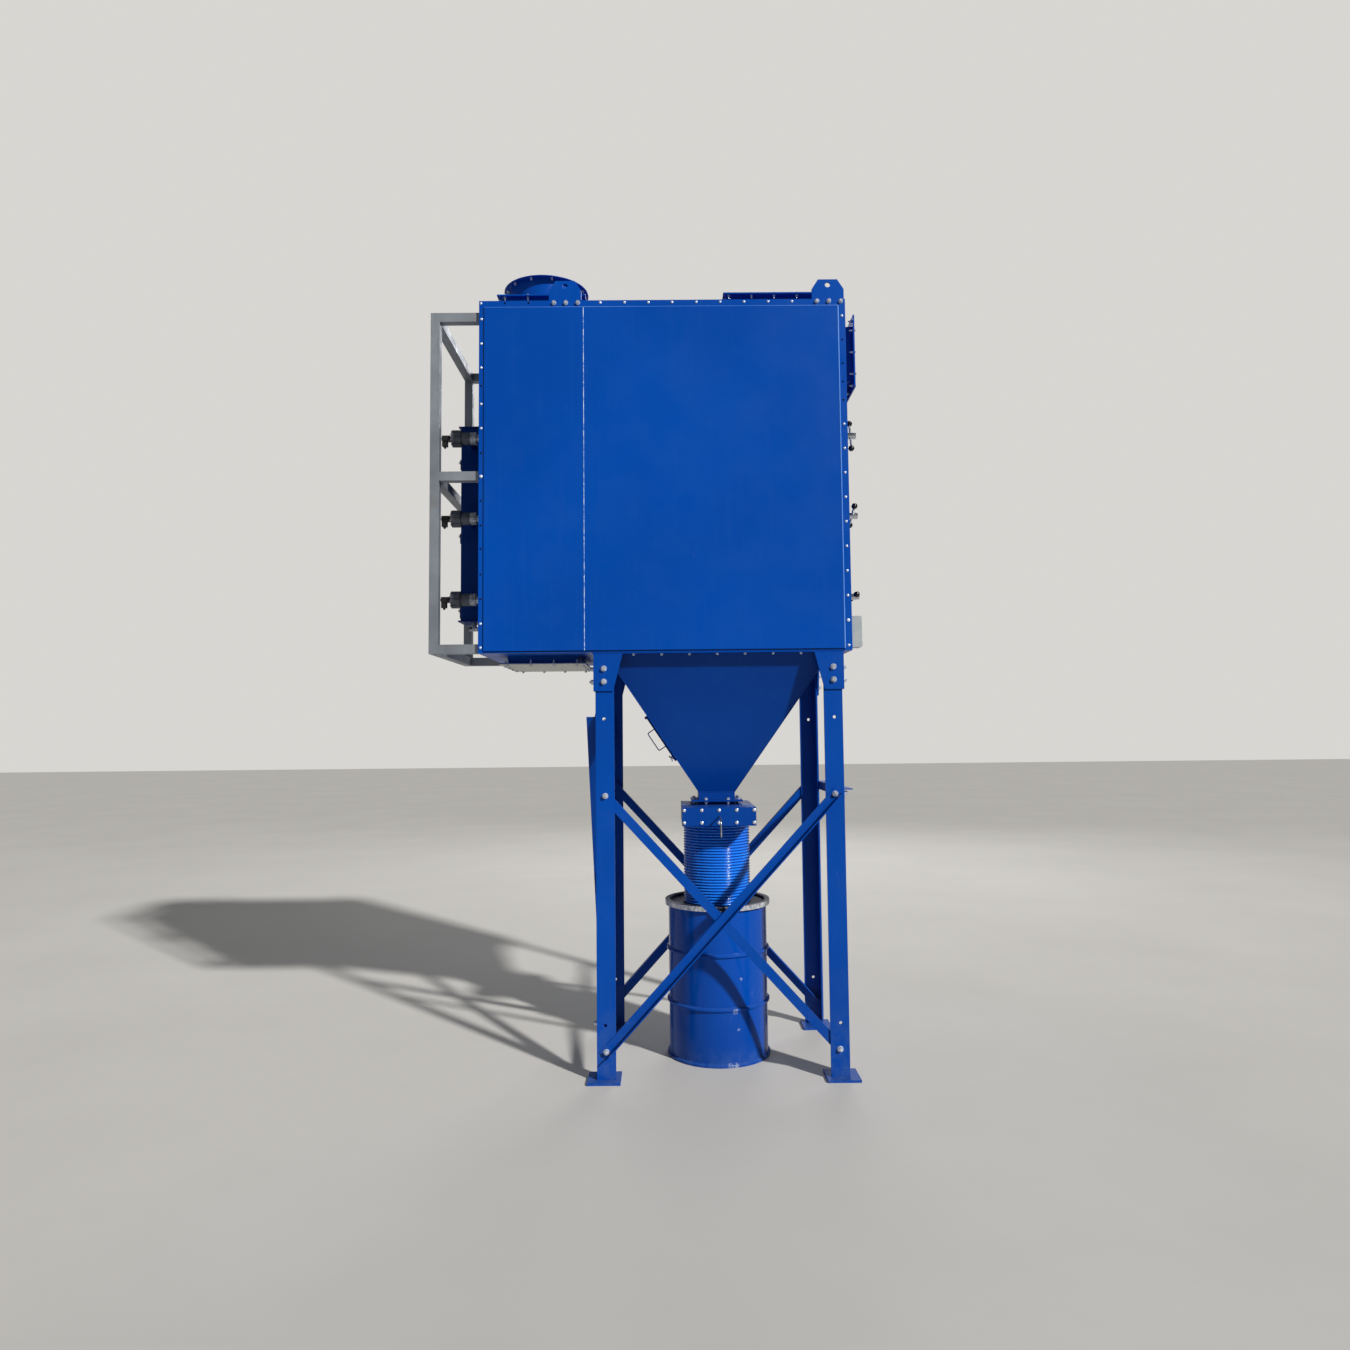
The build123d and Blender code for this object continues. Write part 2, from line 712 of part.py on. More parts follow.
# Two lugs of the closure ring with their bolt
with BuildPart() as closure_lug:
    lug_z = lid_top - drum_ring_height / 2
    with BuildSketch(Plane.XZ.offset(ring_out)):
        with Locations((-closure_lug_spacing / 2, lug_z), (closure_lug_spacing / 2, lug_z)):
            Rectangle(closure_lug_thickness, drum_ring_height)
    extrude(amount=closure_lug_reach)
    with BuildSketch(Plane.YZ):
        with Locations((-ring_out - closure_lug_reach / 2, lug_z)):
            Circle(closure_bolt_diameter / 2)
    extrude(amount=closure_bolt_length / 2, both=True)
save(closure_lug.part, "closure_lug")


# Cabinet walls, butted face to face
def plate(x0, x1, y0, y1, z0, z1, mode=Mode.ADD):
    """Flat plate between two corners."""
    with BuildSketch(Plane.XY.offset(z0)) as outline:
        with Locations(((x0 + x1) / 2, (y0 + y1) / 2)):
            Rectangle(x1 - x0, y1 - y0)
    extrude(outline.sketch, amount=z1 - z0, mode=mode)


rim_out = cabinet_front_y - panel_thickness
rim_in = rim_out - wall
panel_low = cabinet_bottom + floor_lip
panel_high = cabinet_top - roof_lip
for side, label in ((-1, "front"), (1, "back")):
    y_low, y_high = sorted((side * cabinet_front_y, side * rim_out))
    with BuildPart() as plenum_panel:
        plate(cabinet_left + left_rim, cabinet_seam, y_low, y_high, panel_low, panel_high)
    save(plenum_panel.part, f"plenum_{label}_panel")
    with BuildPart() as housing_panel:
        plate(cabinet_seam, cabinet_right - right_rim, y_low, y_high, panel_low, panel_high)
    save(housing_panel.part, f"housing_{label}_panel")


def edge_strips(x0, x1, z0, z1):
    """Strip behind the edge of the front panels and its mirror image at the back."""
    for side in (-1, 1):
        y0, y1 = sorted((side * rim_in, side * rim_out))
        plate(x0, x1, y0, y1, z0, z1)


# End walls with rims that the front and back panels lap on
strip_left = cabinet_left + left_rim + panel_lap
strip_right = cabinet_right - right_rim - panel_lap
with BuildPart() as plenum_end_wall:
    plate(cabinet_left, cabinet_left + wall, -rim_out, rim_out, cabinet_bottom, cabinet_top)
    edge_strips(cabinet_left, strip_left, cabinet_bottom, cabinet_top)
save(plenum_end_wall.part, "plenum_end_wall")

cover_places = [(side * cartridge_spacing_y / 2, row) for row in cartridge_rows for side in (-1, 1)]
with BuildPart() as access_end_wall:
    plate(cabinet_right - wall, cabinet_right, -rim_out, rim_out, cabinet_bottom, cabinet_top)
    edge_strips(strip_right, cabinet_right, cabinet_bottom, cabinet_top)
    with BuildSketch(Plane.YZ.offset(cabinet_right)):
        with Locations(*cover_places):
            Circle(cover_opening_diameter / 2)
        with Locations((0, side_inlet_centre_z)):
            Rectangle(side_inlet_y - 2 * duct_wall, side_inlet_z - 2 * duct_wall)
    extrude(amount=-wall, mode=Mode.SUBTRACT)
save(access_end_wall.part, "access_end_wall")

# Roof with lips under the top edges of the panels, and slots for the lifting lugs
inner_left = cabinet_left + wall
inner_right = cabinet_right - wall
lug_out_y = rim_in
lug_in_y = rim_in - lug_thickness
with BuildPart() as roof:
    plate(inner_left, inner_right, -rim_in, rim_in, cabinet_top - wall, cabinet_top)
    edge_strips(strip_left, strip_right, panel_high - panel_lap, cabinet_top)
    for side in (-1, 1):
        for centre in (lug_left_centre, lug_right_centre):
            s0, s1 = sorted((side * lug_out_y, side * (lug_in_y - lug_slot_clearance)))
            half = lug_width / 2 + lug_slot_clearance
            plate(centre - half, centre + half, s0, s1, cabinet_top - wall, cabinet_top, Mode.SUBTRACT)
    with BuildSketch(Plane.XY.offset(cabinet_top)):
        with Locations((outlet_centre_x, 0)):
            Rectangle(outlet_base_bore, outlet_base_bore)
        with Locations((top_inlet_centre_x, 0)):
            Rectangle(top_inlet_x - 2 * duct_wall, top_inlet_y - 2 * duct_wall)
    extrude(amount=-wall, mode=Mode.SUBTRACT)
save(roof.part, "roof")

# Floor of the plenum and floor frame of the housing, turned up at the panels
with BuildPart() as plenum_floor:
    plate(inner_left, cabinet_seam, -rim_in, rim_in, cabinet_bottom, cabinet_bottom + wall)
    edge_strips(strip_left, cabinet_seam, cabinet_bottom, panel_low + panel_lap)
    plate(
        floor_collar_centre_x - floor_collar_x / 2 + duct_wall,
        floor_collar_centre_x + floor_collar_x / 2 - duct_wall,
        -floor_collar_y / 2 + duct_wall, floor_collar_y / 2 - duct_wall,
        cabinet_bottom, cabinet_bottom + wall, Mode.SUBTRACT,
    )
save(plenum_floor.part, "plenum_floor")

with BuildPart() as housing_floor:
    plate(cabinet_seam, inner_right, -rim_in, rim_in, cabinet_bottom, cabinet_bottom + wall)
    edge_strips(cabinet_seam, strip_right, cabinet_bottom, panel_low + panel_lap)
    opening_x = hopper_top_x / 2 - hopper_wall
    opening_y = hopper_top_y / 2 - hopper_wall
    plate(-opening_x, opening_x, -opening_y, opening_y, cabinet_bottom, cabinet_bottom + wall, Mode.SUBTRACT)
save(housing_floor.part, "housing_floor")

# Tube sheet between the plenum and the housing, flanged behind the seam of the panels
with BuildPart() as tube_sheet:
    plate(
        cabinet_seam - wall / 2, cabinet_seam + wall / 2, -rim_in, rim_in,
        cabinet_bottom + wall, cabinet_top - wall,
    )
    edge_strips(
        cabinet_seam - panel_lap, cabinet_seam + panel_lap,
        panel_low + panel_lap, panel_high - panel_lap,
    )
    with BuildSketch(Plane.YZ.offset(cabinet_seam + wall / 2)):
        with Locations(*cover_places):
            Circle(tube_hole_diameter / 2)
    extrude(amount=-wall, mode=Mode.SUBTRACT)
save(tube_sheet.part, "tube_sheet")

# Filter cartridges, clamped between the tube sheet and the covers
with BuildPart() as filter_cartridges:
    with BuildSketch(Plane.YZ.offset(cabinet_seam + wall / 2)):
        with Locations(*cover_places):
            Circle(cartridge_outer_diameter / 2)
            Circle(cartridge_inner_diameter / 2, mode=Mode.SUBTRACT)
    extrude(amount=cabinet_right - cabinet_seam - wall / 2)
save(filter_cartridges.part, "filter_cartridges")

# Lifting lugs behind the roof lips
with BuildPart() as lifting_lugs:
    for side in (-1, 1):
        for centre in (lug_left_centre, lug_right_centre):
            half = lug_width / 2
            low = cabinet_top - roof_lip
            top = cabinet_top + lug_rise
            with BuildSketch(Plane.XZ.offset(-side * lug_in_y)):
                with BuildLine():
                    Polyline(
                        (centre - half, low),
                        (centre + half, low),
                        (centre + half, top - lug_chamfer_z),
                        (centre + half - lug_chamfer_x, top),
                        (centre - half + lug_chamfer_x, top),
                        (centre - half, top - lug_chamfer_z),
                        close=True,
                    )
                make_face()
                with Locations((centre, cabinet_top + lug_hole_rise)):
                    Circle(lug_hole_diameter / 2, mode=Mode.SUBTRACT)
            extrude(amount=-side * lug_thickness)
save(lifting_lugs.part, "lifting_lugs")

# Round outlet on its square base
with BuildPart() as outlet_base:
    with BuildSketch(Plane.XY.offset(cabinet_top)):
        with Locations((outlet_centre_x, 0)):
            Rectangle(outlet_base_width, outlet_base_width)
            Rectangle(outlet_base_bore, outlet_base_bore, mode=Mode.SUBTRACT)
    extrude(amount=outlet_base_rise)
    with BuildSketch(Plane.XY.offset(base_top)):
        with Locations((outlet_centre_x, 0)):
            Rectangle(outlet_base_flange, outlet_base_flange)
            Rectangle(outlet_base_bore, outlet_base_bore, mode=Mode.SUBTRACT)
    extrude(amount=-duct_flange_thickness)
save(outlet_base.part, "outlet_base")

pipe_top = base_top + duct_flange_thickness + outlet_pipe_height
half_step = 180 / outlet_bolt_count
with BuildPart() as outlet_stack:
    with BuildSketch(Plane.XY.offset(base_top)):
        with Locations((outlet_centre_x, 0)):
            Rectangle(outlet_base_flange, outlet_base_flange)
    extrude(amount=duct_flange_thickness)
    with BuildSketch(Plane.XY.offset(base_top + duct_flange_thickness)):
        with Locations((outlet_centre_x, 0)):
            Circle(outlet_pipe_diameter / 2)
    extrude(amount=outlet_pipe_height)
    with BuildSketch(Plane.XY.offset(pipe_top)):
        with Locations((outlet_centre_x, 0)):
            Circle(outlet_round_flange / 2)
        with Locations((outlet_centre_x, 0)):
            with PolarLocations(outlet_bolt_circle / 2, outlet_bolt_count, start_angle=half_step):
                Circle(outlet_bolt_diameter / 2, mode=Mode.SUBTRACT)
    extrude(amount=-duct_flange_thickness)
    with BuildSketch(Plane.XY.offset(pipe_top)):
        with Locations((outlet_centre_x, 0)):
            Circle(outlet_pipe_diameter / 2 - duct_wall)
    extrude(amount=-(pipe_top - base_top), mode=Mode.SUBTRACT)
save(outlet_stack.part, "outlet_stack")


# Blanked inlets: a rectangular collar with a flange, and the plate bolted on it
def collar(plane, width, depth, lip, reach):
    """Rectangular duct collar that ends in a flange as wide as its lip."""
    with BuildSketch(plane) as outer:
        Rectangle(width, depth)
    extrude(outer.sketch, amount=reach)
    with BuildSketch(plane.offset(reach)) as flange_face:
        Rectangle(width + 2 * lip, depth + 2 * lip)
    extrude(flange_face.sketch, amount=-duct_flange_thickness)
    with BuildSketch(plane) as bore:
        Rectangle(width - 2 * duct_wall, depth - 2 * duct_wall)
    extrude(bore.sketch, amount=reach, mode=Mode.SUBTRACT)


top_inlet_plane = Plane(origin=(top_inlet_centre_x, 0, cabinet_top), x_dir=(1, 0, 0), z_dir=(0, 0, 1))
side_inlet_plane = Plane(origin=(cabinet_right, 0, side_inlet_centre_z), x_dir=(0, 1, 0), z_dir=(1, 0, 0))
floor_plane = Plane(origin=(floor_collar_centre_x, 0, cabinet_bottom), x_dir=(1, 0, 0), z_dir=(0, 0, -1))
for label, plane, width, depth, lip, reach in (
    ("top_inlet", top_inlet_plane, top_inlet_x, top_inlet_y, top_inlet_lip, top_inlet_rise),
    ("side_inlet", side_inlet_plane, side_inlet_y, side_inlet_z, side_inlet_lip, side_inlet_reach),
    ("floor_collar", floor_plane, floor_collar_x, floor_collar_y, floor_collar_lip, floor_collar_drop),
):
    with BuildPart() as duct_collar:
        collar(plane, width, depth, lip, reach)
    save(duct_collar.part, label)
    with BuildPart() as duct_blank:
        with BuildSketch(plane.offset(reach)):
            Rectangle(width + 2 * lip, depth + 2 * lip)
        extrude(amount=blank_thickness)
    save(duct_blank.part, f"{label}_blank")

# Access covers with the stud that carries each handle
cover_out = cabinet_right + cover_thickness
with BuildPart() as access_covers:
    with BuildSketch(Plane.YZ.offset(cabinet_right)):
        with Locations(*cover_places):
            Circle(cover_diameter / 2)
    extrude(amount=cover_thickness)
    with BuildSketch(Plane.YZ.offset(cover_out)):
        with Locations(*cover_places):
            Circle(cover_boss_diameter / 2)
    extrude(amount=cover_boss_height)
    with BuildSketch(Plane.YZ.offset(cover_out + cover_boss_height)):
        with Locations(*cover_places):
            Circle(stud_diameter / 2)
    extrude(amount=stud_length)
save(access_covers.part, "access_covers")

# Handles: a hub with a cross bar and two balls
hub_start = cover_out + cover_boss_height + hub_gap
for index, (y, z) in enumerate(cover_places):
    turn = math.radians(handle_turns[index])
    along = Vector(0, math.cos(turn), math.sin(turn))
    bar_centre = Vector(hub_start + handle_bar_offset, y, z)
    with BuildPart() as handle:
        with BuildSketch(Plane(origin=(hub_start, y, z), x_dir=(0, 1, 0), z_dir=(1, 0, 0))):
            Circle(hub_diameter / 2)
        extrude(amount=hub_length)
        with BuildSketch(Plane(origin=bar_centre, x_dir=(1, 0, 0), z_dir=along)):
            Circle(handle_bar_diameter / 2)
        extrude(amount=handle_bar_span / 2, both=True)
        for side in (-1, 1):
            with Locations(bar_centre + along * (side * handle_bar_span / 2)):
                Sphere(handle_ball_diameter / 2)
        with BuildSketch(Plane(origin=(hub_start, y, z), x_dir=(0, 1, 0), z_dir=(1, 0, 0))):
            Circle(stud_diameter / 2 + hub_bore_clearance)
        extrude(amount=stud_length + hub_gap, mode=Mode.SUBTRACT)
    save(handle.part, f"cover_handle_{index + 1}")

# Control box
with BuildPart() as control_box:
    plate(
        cabinet_right, cabinet_right + control_box_depth,
        control_box_inset - cabinet_front_y, control_box_inset - cabinet_front_y + control_box_width,
        cabinet_bottom + control_box_rise, cabinet_bottom + control_box_rise + control_box_height,
    )
save(control_box.part, "control_box")

# Compressed air header of square tube with its end plates and the nipples to its valves
header_half = header_width / 2
valve_y = cartridge_spacing_y / 2
header_plate_width = header_width + 2 * header_plate_lip
with BuildPart() as air_header:
    with BuildSketch(Plane.XY.offset(header_bottom)):
        with Locations((header_x, 0)):
            RectangleRounded(header_width, header_width, header_corner)
    extrude(amount=header_top - header_bottom)
    for level in (header_bottom, header_top - header_plate_thickness):
        with BuildSketch(Plane.XY.offset(level)):
            with Locations((header_x, 0)):
                Rectangle(header_plate_width, header_plate_width)
        extrude(amount=header_plate_thickness)
    for side in (-1, 1):
        with BuildSketch(Plane.XZ.offset(-side * header_half)):
            for row in cartridge_rows:
                with Locations((header_x, row)):
                    Circle(nipple_diameter / 2)
        extrude(amount=-side * (valve_y - valve_boss_reach - header_half))
save(air_header.part, "air_header")

# Pulse valves: body, grooved bonnet and solenoid stem
valve_places = [(side * valve_y, row) for row in cartridge_rows for side in (-1, 1)]
body_out = header_x - valve_body_length / 2
with BuildPart() as pulse_valves:
    with BuildSketch(Plane.YZ.offset(header_x + valve_body_length / 2)):
        with Locations(*valve_places):
            Circle(valve_body_diameter / 2)
    extrude(amount=-valve_body_length)
    for side in (-1, 1):
        with BuildSketch(Plane.XZ.offset(-side * (valve_y - valve_boss_reach))):
            for row in cartridge_rows:
                with Locations((header_x, row)):
                    Circle(valve_boss_diameter / 2)
        extrude(amount=-side * valve_boss_reach)
    for y, z in valve_places:
        with BuildSketch(Plane.YZ.offset(body_out)):
            with Locations((y, z)):
                Circle(bonnet_diameter / 2)
                with PolarLocations(bonnet_diameter / 2, bonnet_grooves):
                    Circle(bonnet_groove_diameter / 2, mode=Mode.SUBTRACT)
        extrude(amount=-bonnet_length)
    with BuildSketch(Plane.YZ.offset(body_out - bonnet_length)):
        with Locations(*valve_places):
            Circle(coil_stem_diameter / 2)
    extrude(amount=-coil_stem_length)
save(pulse_valves.part, "pulse_valves")

coil_out = body_out - bonnet_length - coil_stem_length
with BuildPart() as valve_coils:
    with BuildSketch(Plane.YZ.offset(coil_out)):
        with Locations(*valve_places):
            RectangleRounded(coil_width, coil_height, coil_corner)
    extrude(amount=-coil_length)
    with BuildSketch(Plane.YZ.offset(coil_out - coil_length)):
        for y, z in valve_places:
            with Locations((y, z - coil_height / 2 - plug_drop / 2)):
                Rectangle(plug_width, plug_drop)
    extrude(amount=plug_length)
save(valve_coils.part, "valve_coils")

# Blow pipes from the valves into the plenum, each with a grooved coupling nut on its valve
with BuildPart() as blow_pipes:
    with BuildSketch(Plane.YZ.offset(cabinet_left)):
        with Locations(*valve_places):
            Circle(blow_pipe_diameter / 2)
    extrude(amount=-(header_centre_offset - valve_body_length / 2))
    for y, z in valve_places:
        with BuildSketch(Plane.YZ.offset(header_x + valve_body_length / 2)):
            with Locations((y, z)):
                Circle(coupling_diameter / 2)
                with PolarLocations(coupling_diameter / 2, coupling_grooves):
                    Circle(coupling_groove_diameter / 2, mode=Mode.SUBTRACT)
        extrude(amount=coupling_length)
save(blow_pipes.part, "blow_pipes")

# Drain cock under the header
with BuildPart() as header_drain:
    with BuildSketch(Plane.XY.offset(header_bottom)):
        with Locations((header_x, 0)):
            RegularPolygon(drain_stem_size / 2, 6)
    extrude(amount=-drain_stem_length)
    with BuildSketch(Plane.YZ.offset(header_x)):
        with Locations((0, header_bottom - drain_stem_length)):
            Circle(drain_body_diameter / 2)
    extrude(amount=drain_body_length / 2, both=True)
save(header_drain.part, "header_drain")

# Guard frame of square tube: two posts, rails to the wall and cross members
guard_x = cabinet_left - guard_reach
guard_y = cabinet_front_y - guard_inset_y
guard_in = guard_y - guard_tube
guard_bottom = cabinet_bottom + guard_bottom_rise
guard_top = cabinet_top - guard_top_drop
guard_middle = cabinet_bottom + guard_middle_rise
with BuildPart() as guard_frame:
    for side in (-1, 1):
        y0, y1 = sorted((side * guard_y, side * guard_in))
        plate(guard_x, guard_x + guard_tube, y0, y1, guard_bottom, guard_top)
        for top in (guard_bottom + guard_tube, guard_middle, guard_top):
            plate(guard_x + guard_tube, cabinet_left, y0, y1, top - guard_tube, top)
    for top in (guard_bottom + guard_tube, guard_middle, guard_top):
        plate(guard_x, guard_x + guard_tube, -guard_in, guard_in, top - guard_tube, top)
save(guard_frame.part, "guard_frame")
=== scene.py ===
import math
import random

import bmesh
import bpy
from mathutils import Matrix, Vector


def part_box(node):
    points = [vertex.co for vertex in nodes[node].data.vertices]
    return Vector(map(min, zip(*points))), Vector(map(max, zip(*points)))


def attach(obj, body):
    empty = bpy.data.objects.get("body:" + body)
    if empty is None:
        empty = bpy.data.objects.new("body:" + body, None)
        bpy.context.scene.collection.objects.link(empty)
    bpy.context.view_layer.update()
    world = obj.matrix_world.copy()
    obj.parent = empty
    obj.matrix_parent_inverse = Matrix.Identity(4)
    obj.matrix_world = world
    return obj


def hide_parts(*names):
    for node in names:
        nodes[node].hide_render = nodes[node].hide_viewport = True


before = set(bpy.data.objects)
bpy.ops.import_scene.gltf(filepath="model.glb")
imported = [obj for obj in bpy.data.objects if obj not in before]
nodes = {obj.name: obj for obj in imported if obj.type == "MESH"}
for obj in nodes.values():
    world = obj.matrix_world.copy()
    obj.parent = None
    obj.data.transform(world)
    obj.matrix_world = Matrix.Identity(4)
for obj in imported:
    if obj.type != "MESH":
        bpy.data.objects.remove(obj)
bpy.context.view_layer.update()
random.seed(11)

# Lengths are in metres, in the frame of the part: origin on the floor, +X right, +Y back.
# These places come from the frame's nodes.
ROOT = "collector"
LEG_X, LEG_Y, LEG_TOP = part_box("legs")[1]
CABINET_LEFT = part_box("plenum_end_wall")[0].x
CABINET_RIGHT, STRIP_Y, CABINET_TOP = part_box("access_end_wall")[1]
PANEL_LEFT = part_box("plenum_front_panel")[0].x
PANEL_LOW, PANEL_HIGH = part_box("housing_back_panel")
PANEL_RIGHT = PANEL_HIGH.x
PANEL_Y = PANEL_HIGH.y
SEAM_X = PANEL_LOW.x
STRUT_LOW, STRUT_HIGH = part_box("right_strut")
STRUT_Z = (STRUT_LOW.z + STRUT_HIGH.z) / 2
HOPPER_LOW, HOPPER_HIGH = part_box("hopper")

# Thicknesses and places that the boxes don't give
BRACKET = 0.010
BRACE = 0.006
GATE_FLANGE = 0.005
DUCT_FLANGE = 0.004
NECK_HEIGHT = 0.045
HOPPER_TOP_HALF_X = HOPPER_HIGH.x - 0.070
HOPPER_TOP_HALF_Y = HOPPER_HIGH.y - 0.050
HOPPER_TOP_Z = HOPPER_HIGH.z - 0.008
HOPPER_LOW_HALF = 0.105
HOPPER_LOW_Z = HOPPER_LOW.z + GATE_FLANGE + NECK_HEIGHT
HATCH_Z = 1.820
HATCH_STACK = 0.0135
HANDLE_BAR_OFFSET = 0.040
KNOB_START = 0.0665
KNOB_EDGE = 0.001
VALVE_Y = 0.240
COIL_STEM = 0.012
PLUG_LOW = 0.046
PLUG_DEPTH = 0.015
HOSE_RADIUS = 0.186
HOSE_RIB = 0.009
HOSE_WALL = 0.004
HOSE_PITCH = 0.0162
DRUM_CHIPS = (
    ((0.082, -0.284, 0.300), 0.026), ((0.116, -0.261, 0.474), 0.014), ((0.050, -0.294, 0.012), 0.024),
    ((0.082, -0.286, 0.014), 0.024), ((0.098, -0.269, 0.200), 0.012),
)

# Bolts across their flats, screws and the dark heads of painted shade across their heads
EDGE_SCREW = 0.0145
EDGE_SHADE_SCREW = 0.011
FLANGED_SCREW = 0.019
LUG_BOLT = 0.019
FRAME_BOLT = 0.024
HOPPER_NUT = 0.013
GATE_SCREW = 0.0195
NECK_BOLT = 0.016
DUCT_BOLT = 0.013
BONNET_BOLT = 0.008
COIL_NUT = 0.015
BOX_SCREW = 0.007

# How far the ends of bolts stand out of their nuts
BRACE_STUB = 0.006
BRACKET_STUB = 0.008
NECK_STUB = 0.006
RING_STUB = 0.006
DUCT_STUB = 0.010

# Bolts along the edges of the front and back panels, as they follow each other in the photo
LEFT_BOLT_X = CABINET_LEFT + 0.0135
RIGHT_BOLT_X = CABINET_RIGHT - 0.0195
TOP_BOLT_Z = CABINET_TOP - 0.0135
LEFT_BRIGHT_Z = (2.326, 2.458, 3.277, 3.549, 3.686, 3.893, 4.030, 4.170)
# Places in shade get dark heads instead: painted shade over the fasteners that lie in shade
LEFT_SHADE_Z = (2.595, 2.731, 2.873, 3.003, 3.141, 3.410, 3.790)
LEFT_FLANGED_Z = (3.277,)
RIGHT_BRIGHT_Z = [2.323 + 0.1373 * i for i in range(10)] + [4.177]
RIGHT_SHADE_Z = (3.696, 3.800, 3.905, 4.040)
RIGHT_FLANGED_Z = (2.4603,)
TOP_BRIGHT_X = (-1.3045, -0.638, -0.502, -0.368, -0.236, -0.100, 0.034, 0.168, 0.303, 0.437)
TOP_SHADE_X = (-1.171, -1.038)
LUG_BOLT_X = [lug + step for lug in (-0.830, 0.644) for step in (-0.067, 0.0, 0.067)]

# Bolts of the brackets, the braces, the hopper's flange and the gate
BRACKET_BOLT_X = LEG_X - 0.047
BRACKET_BOLT_Y = LEG_Y - 0.047
BRACKET_LEVELS = (LEG_TOP - 0.081, LEG_TOP - 0.152)
BRACE_BOLT_X = LEG_X - 0.051
BRACE_BOLT_Y = LEG_Y - 0.051
FRONT_BRACE_LOW_Z = 0.159
LEFT_BRACE_HIGH_Z = 1.931
LEFT_BRACE_LOW_Z = 0.295
FLANGE_NUT_INSET = 0.022
FLANGE_NUT_X = [-0.465 + 0.1532 * i for i in range(7)]
FLANGE_NUT_Y = [-0.30 + 0.15 * i for i in range(5)]
GATE_SCREW_PITCH = 0.0975
NECK_BOLT_OUT = 0.130
NECK_BOLT_SIDE = 0.064

# Bolts of the outlet, the inlets and the blanked collar
OUTLET_CIRCLE = 0.233
OUTLET_BASE_INSET = 0.020
OUTLET_BASE_SHIFT = -0.012
OUTLET_BASE_PITCH = 0.134
INLET_INSET = 0.022
TOP_INLET_PITCH = 0.1325
SIDE_INLET_PITCH = 0.126
COLLAR_INSET_X = 0.021
COLLAR_INSET_Y = 0.022
COLLAR_PITCH = 0.131

# Small things that stand on the panels, the hatch, the valves, the drain and the control box
SEAM_BEAD = 0.0022
SIDE_EDGE = 0.0036
TOP_EDGE = 0.0016
SIDE_GAP = 0.0018
LOW_GAP = 0.0024
WELD_BEAD = 0.0022
WING_NUT = ((0.013, 0.0), (0.013, 0.002), (0.008, 0.003), (0.007, 0.012), (0.004, 0.014))
WING_NUT_DOWN = 0.125
WING_NUT_SIDE = 0.085
WING_RADIUS = 0.0028
BONNET_CIRCLE = 0.039
LEVER_Y = -0.038
LEVER_HEIGHT = 0.013
LEVER_LENGTH = 0.040
LEVER_RADIUS = 0.0035
LID_EDGE = 0.003
LID_CORNER = 0.008
LID_STEPS = ((0.0, 0.0), (0.003, 0.0), (0.004, 0.001))
LID_SCREW_INSET = 0.010


def srgb(red, green, blue):
    """Linear colour from a screen colour."""
    linear = []
    for value in (red, green, blue):
        share = value / 255
        linear.append(share / 12.92 if share <= 0.04045 else ((share + 0.055) / 1.055) ** 2.4)
    return (*linear, 1.0)


BLUE = srgb(0, 75, 172)
BLUE_DEEP = srgb(0, 69, 162)
BLUE_DUST = srgb(58, 100, 164)
SCUFF = srgb(120, 145, 190)
CHIP = srgb(190, 202, 218)
GRIT = srgb(150, 150, 152)
MILL_SCALE = srgb(108, 109, 115)
WARM_STEEL = srgb(136, 118, 100)
RUST = srgb(74, 58, 48)
RUBBED = srgb(140, 140, 140)
DAYLIGHT = (0.92, 0.96, 1.0)
SUNLIGHT = (1.0, 0.98, 0.95)


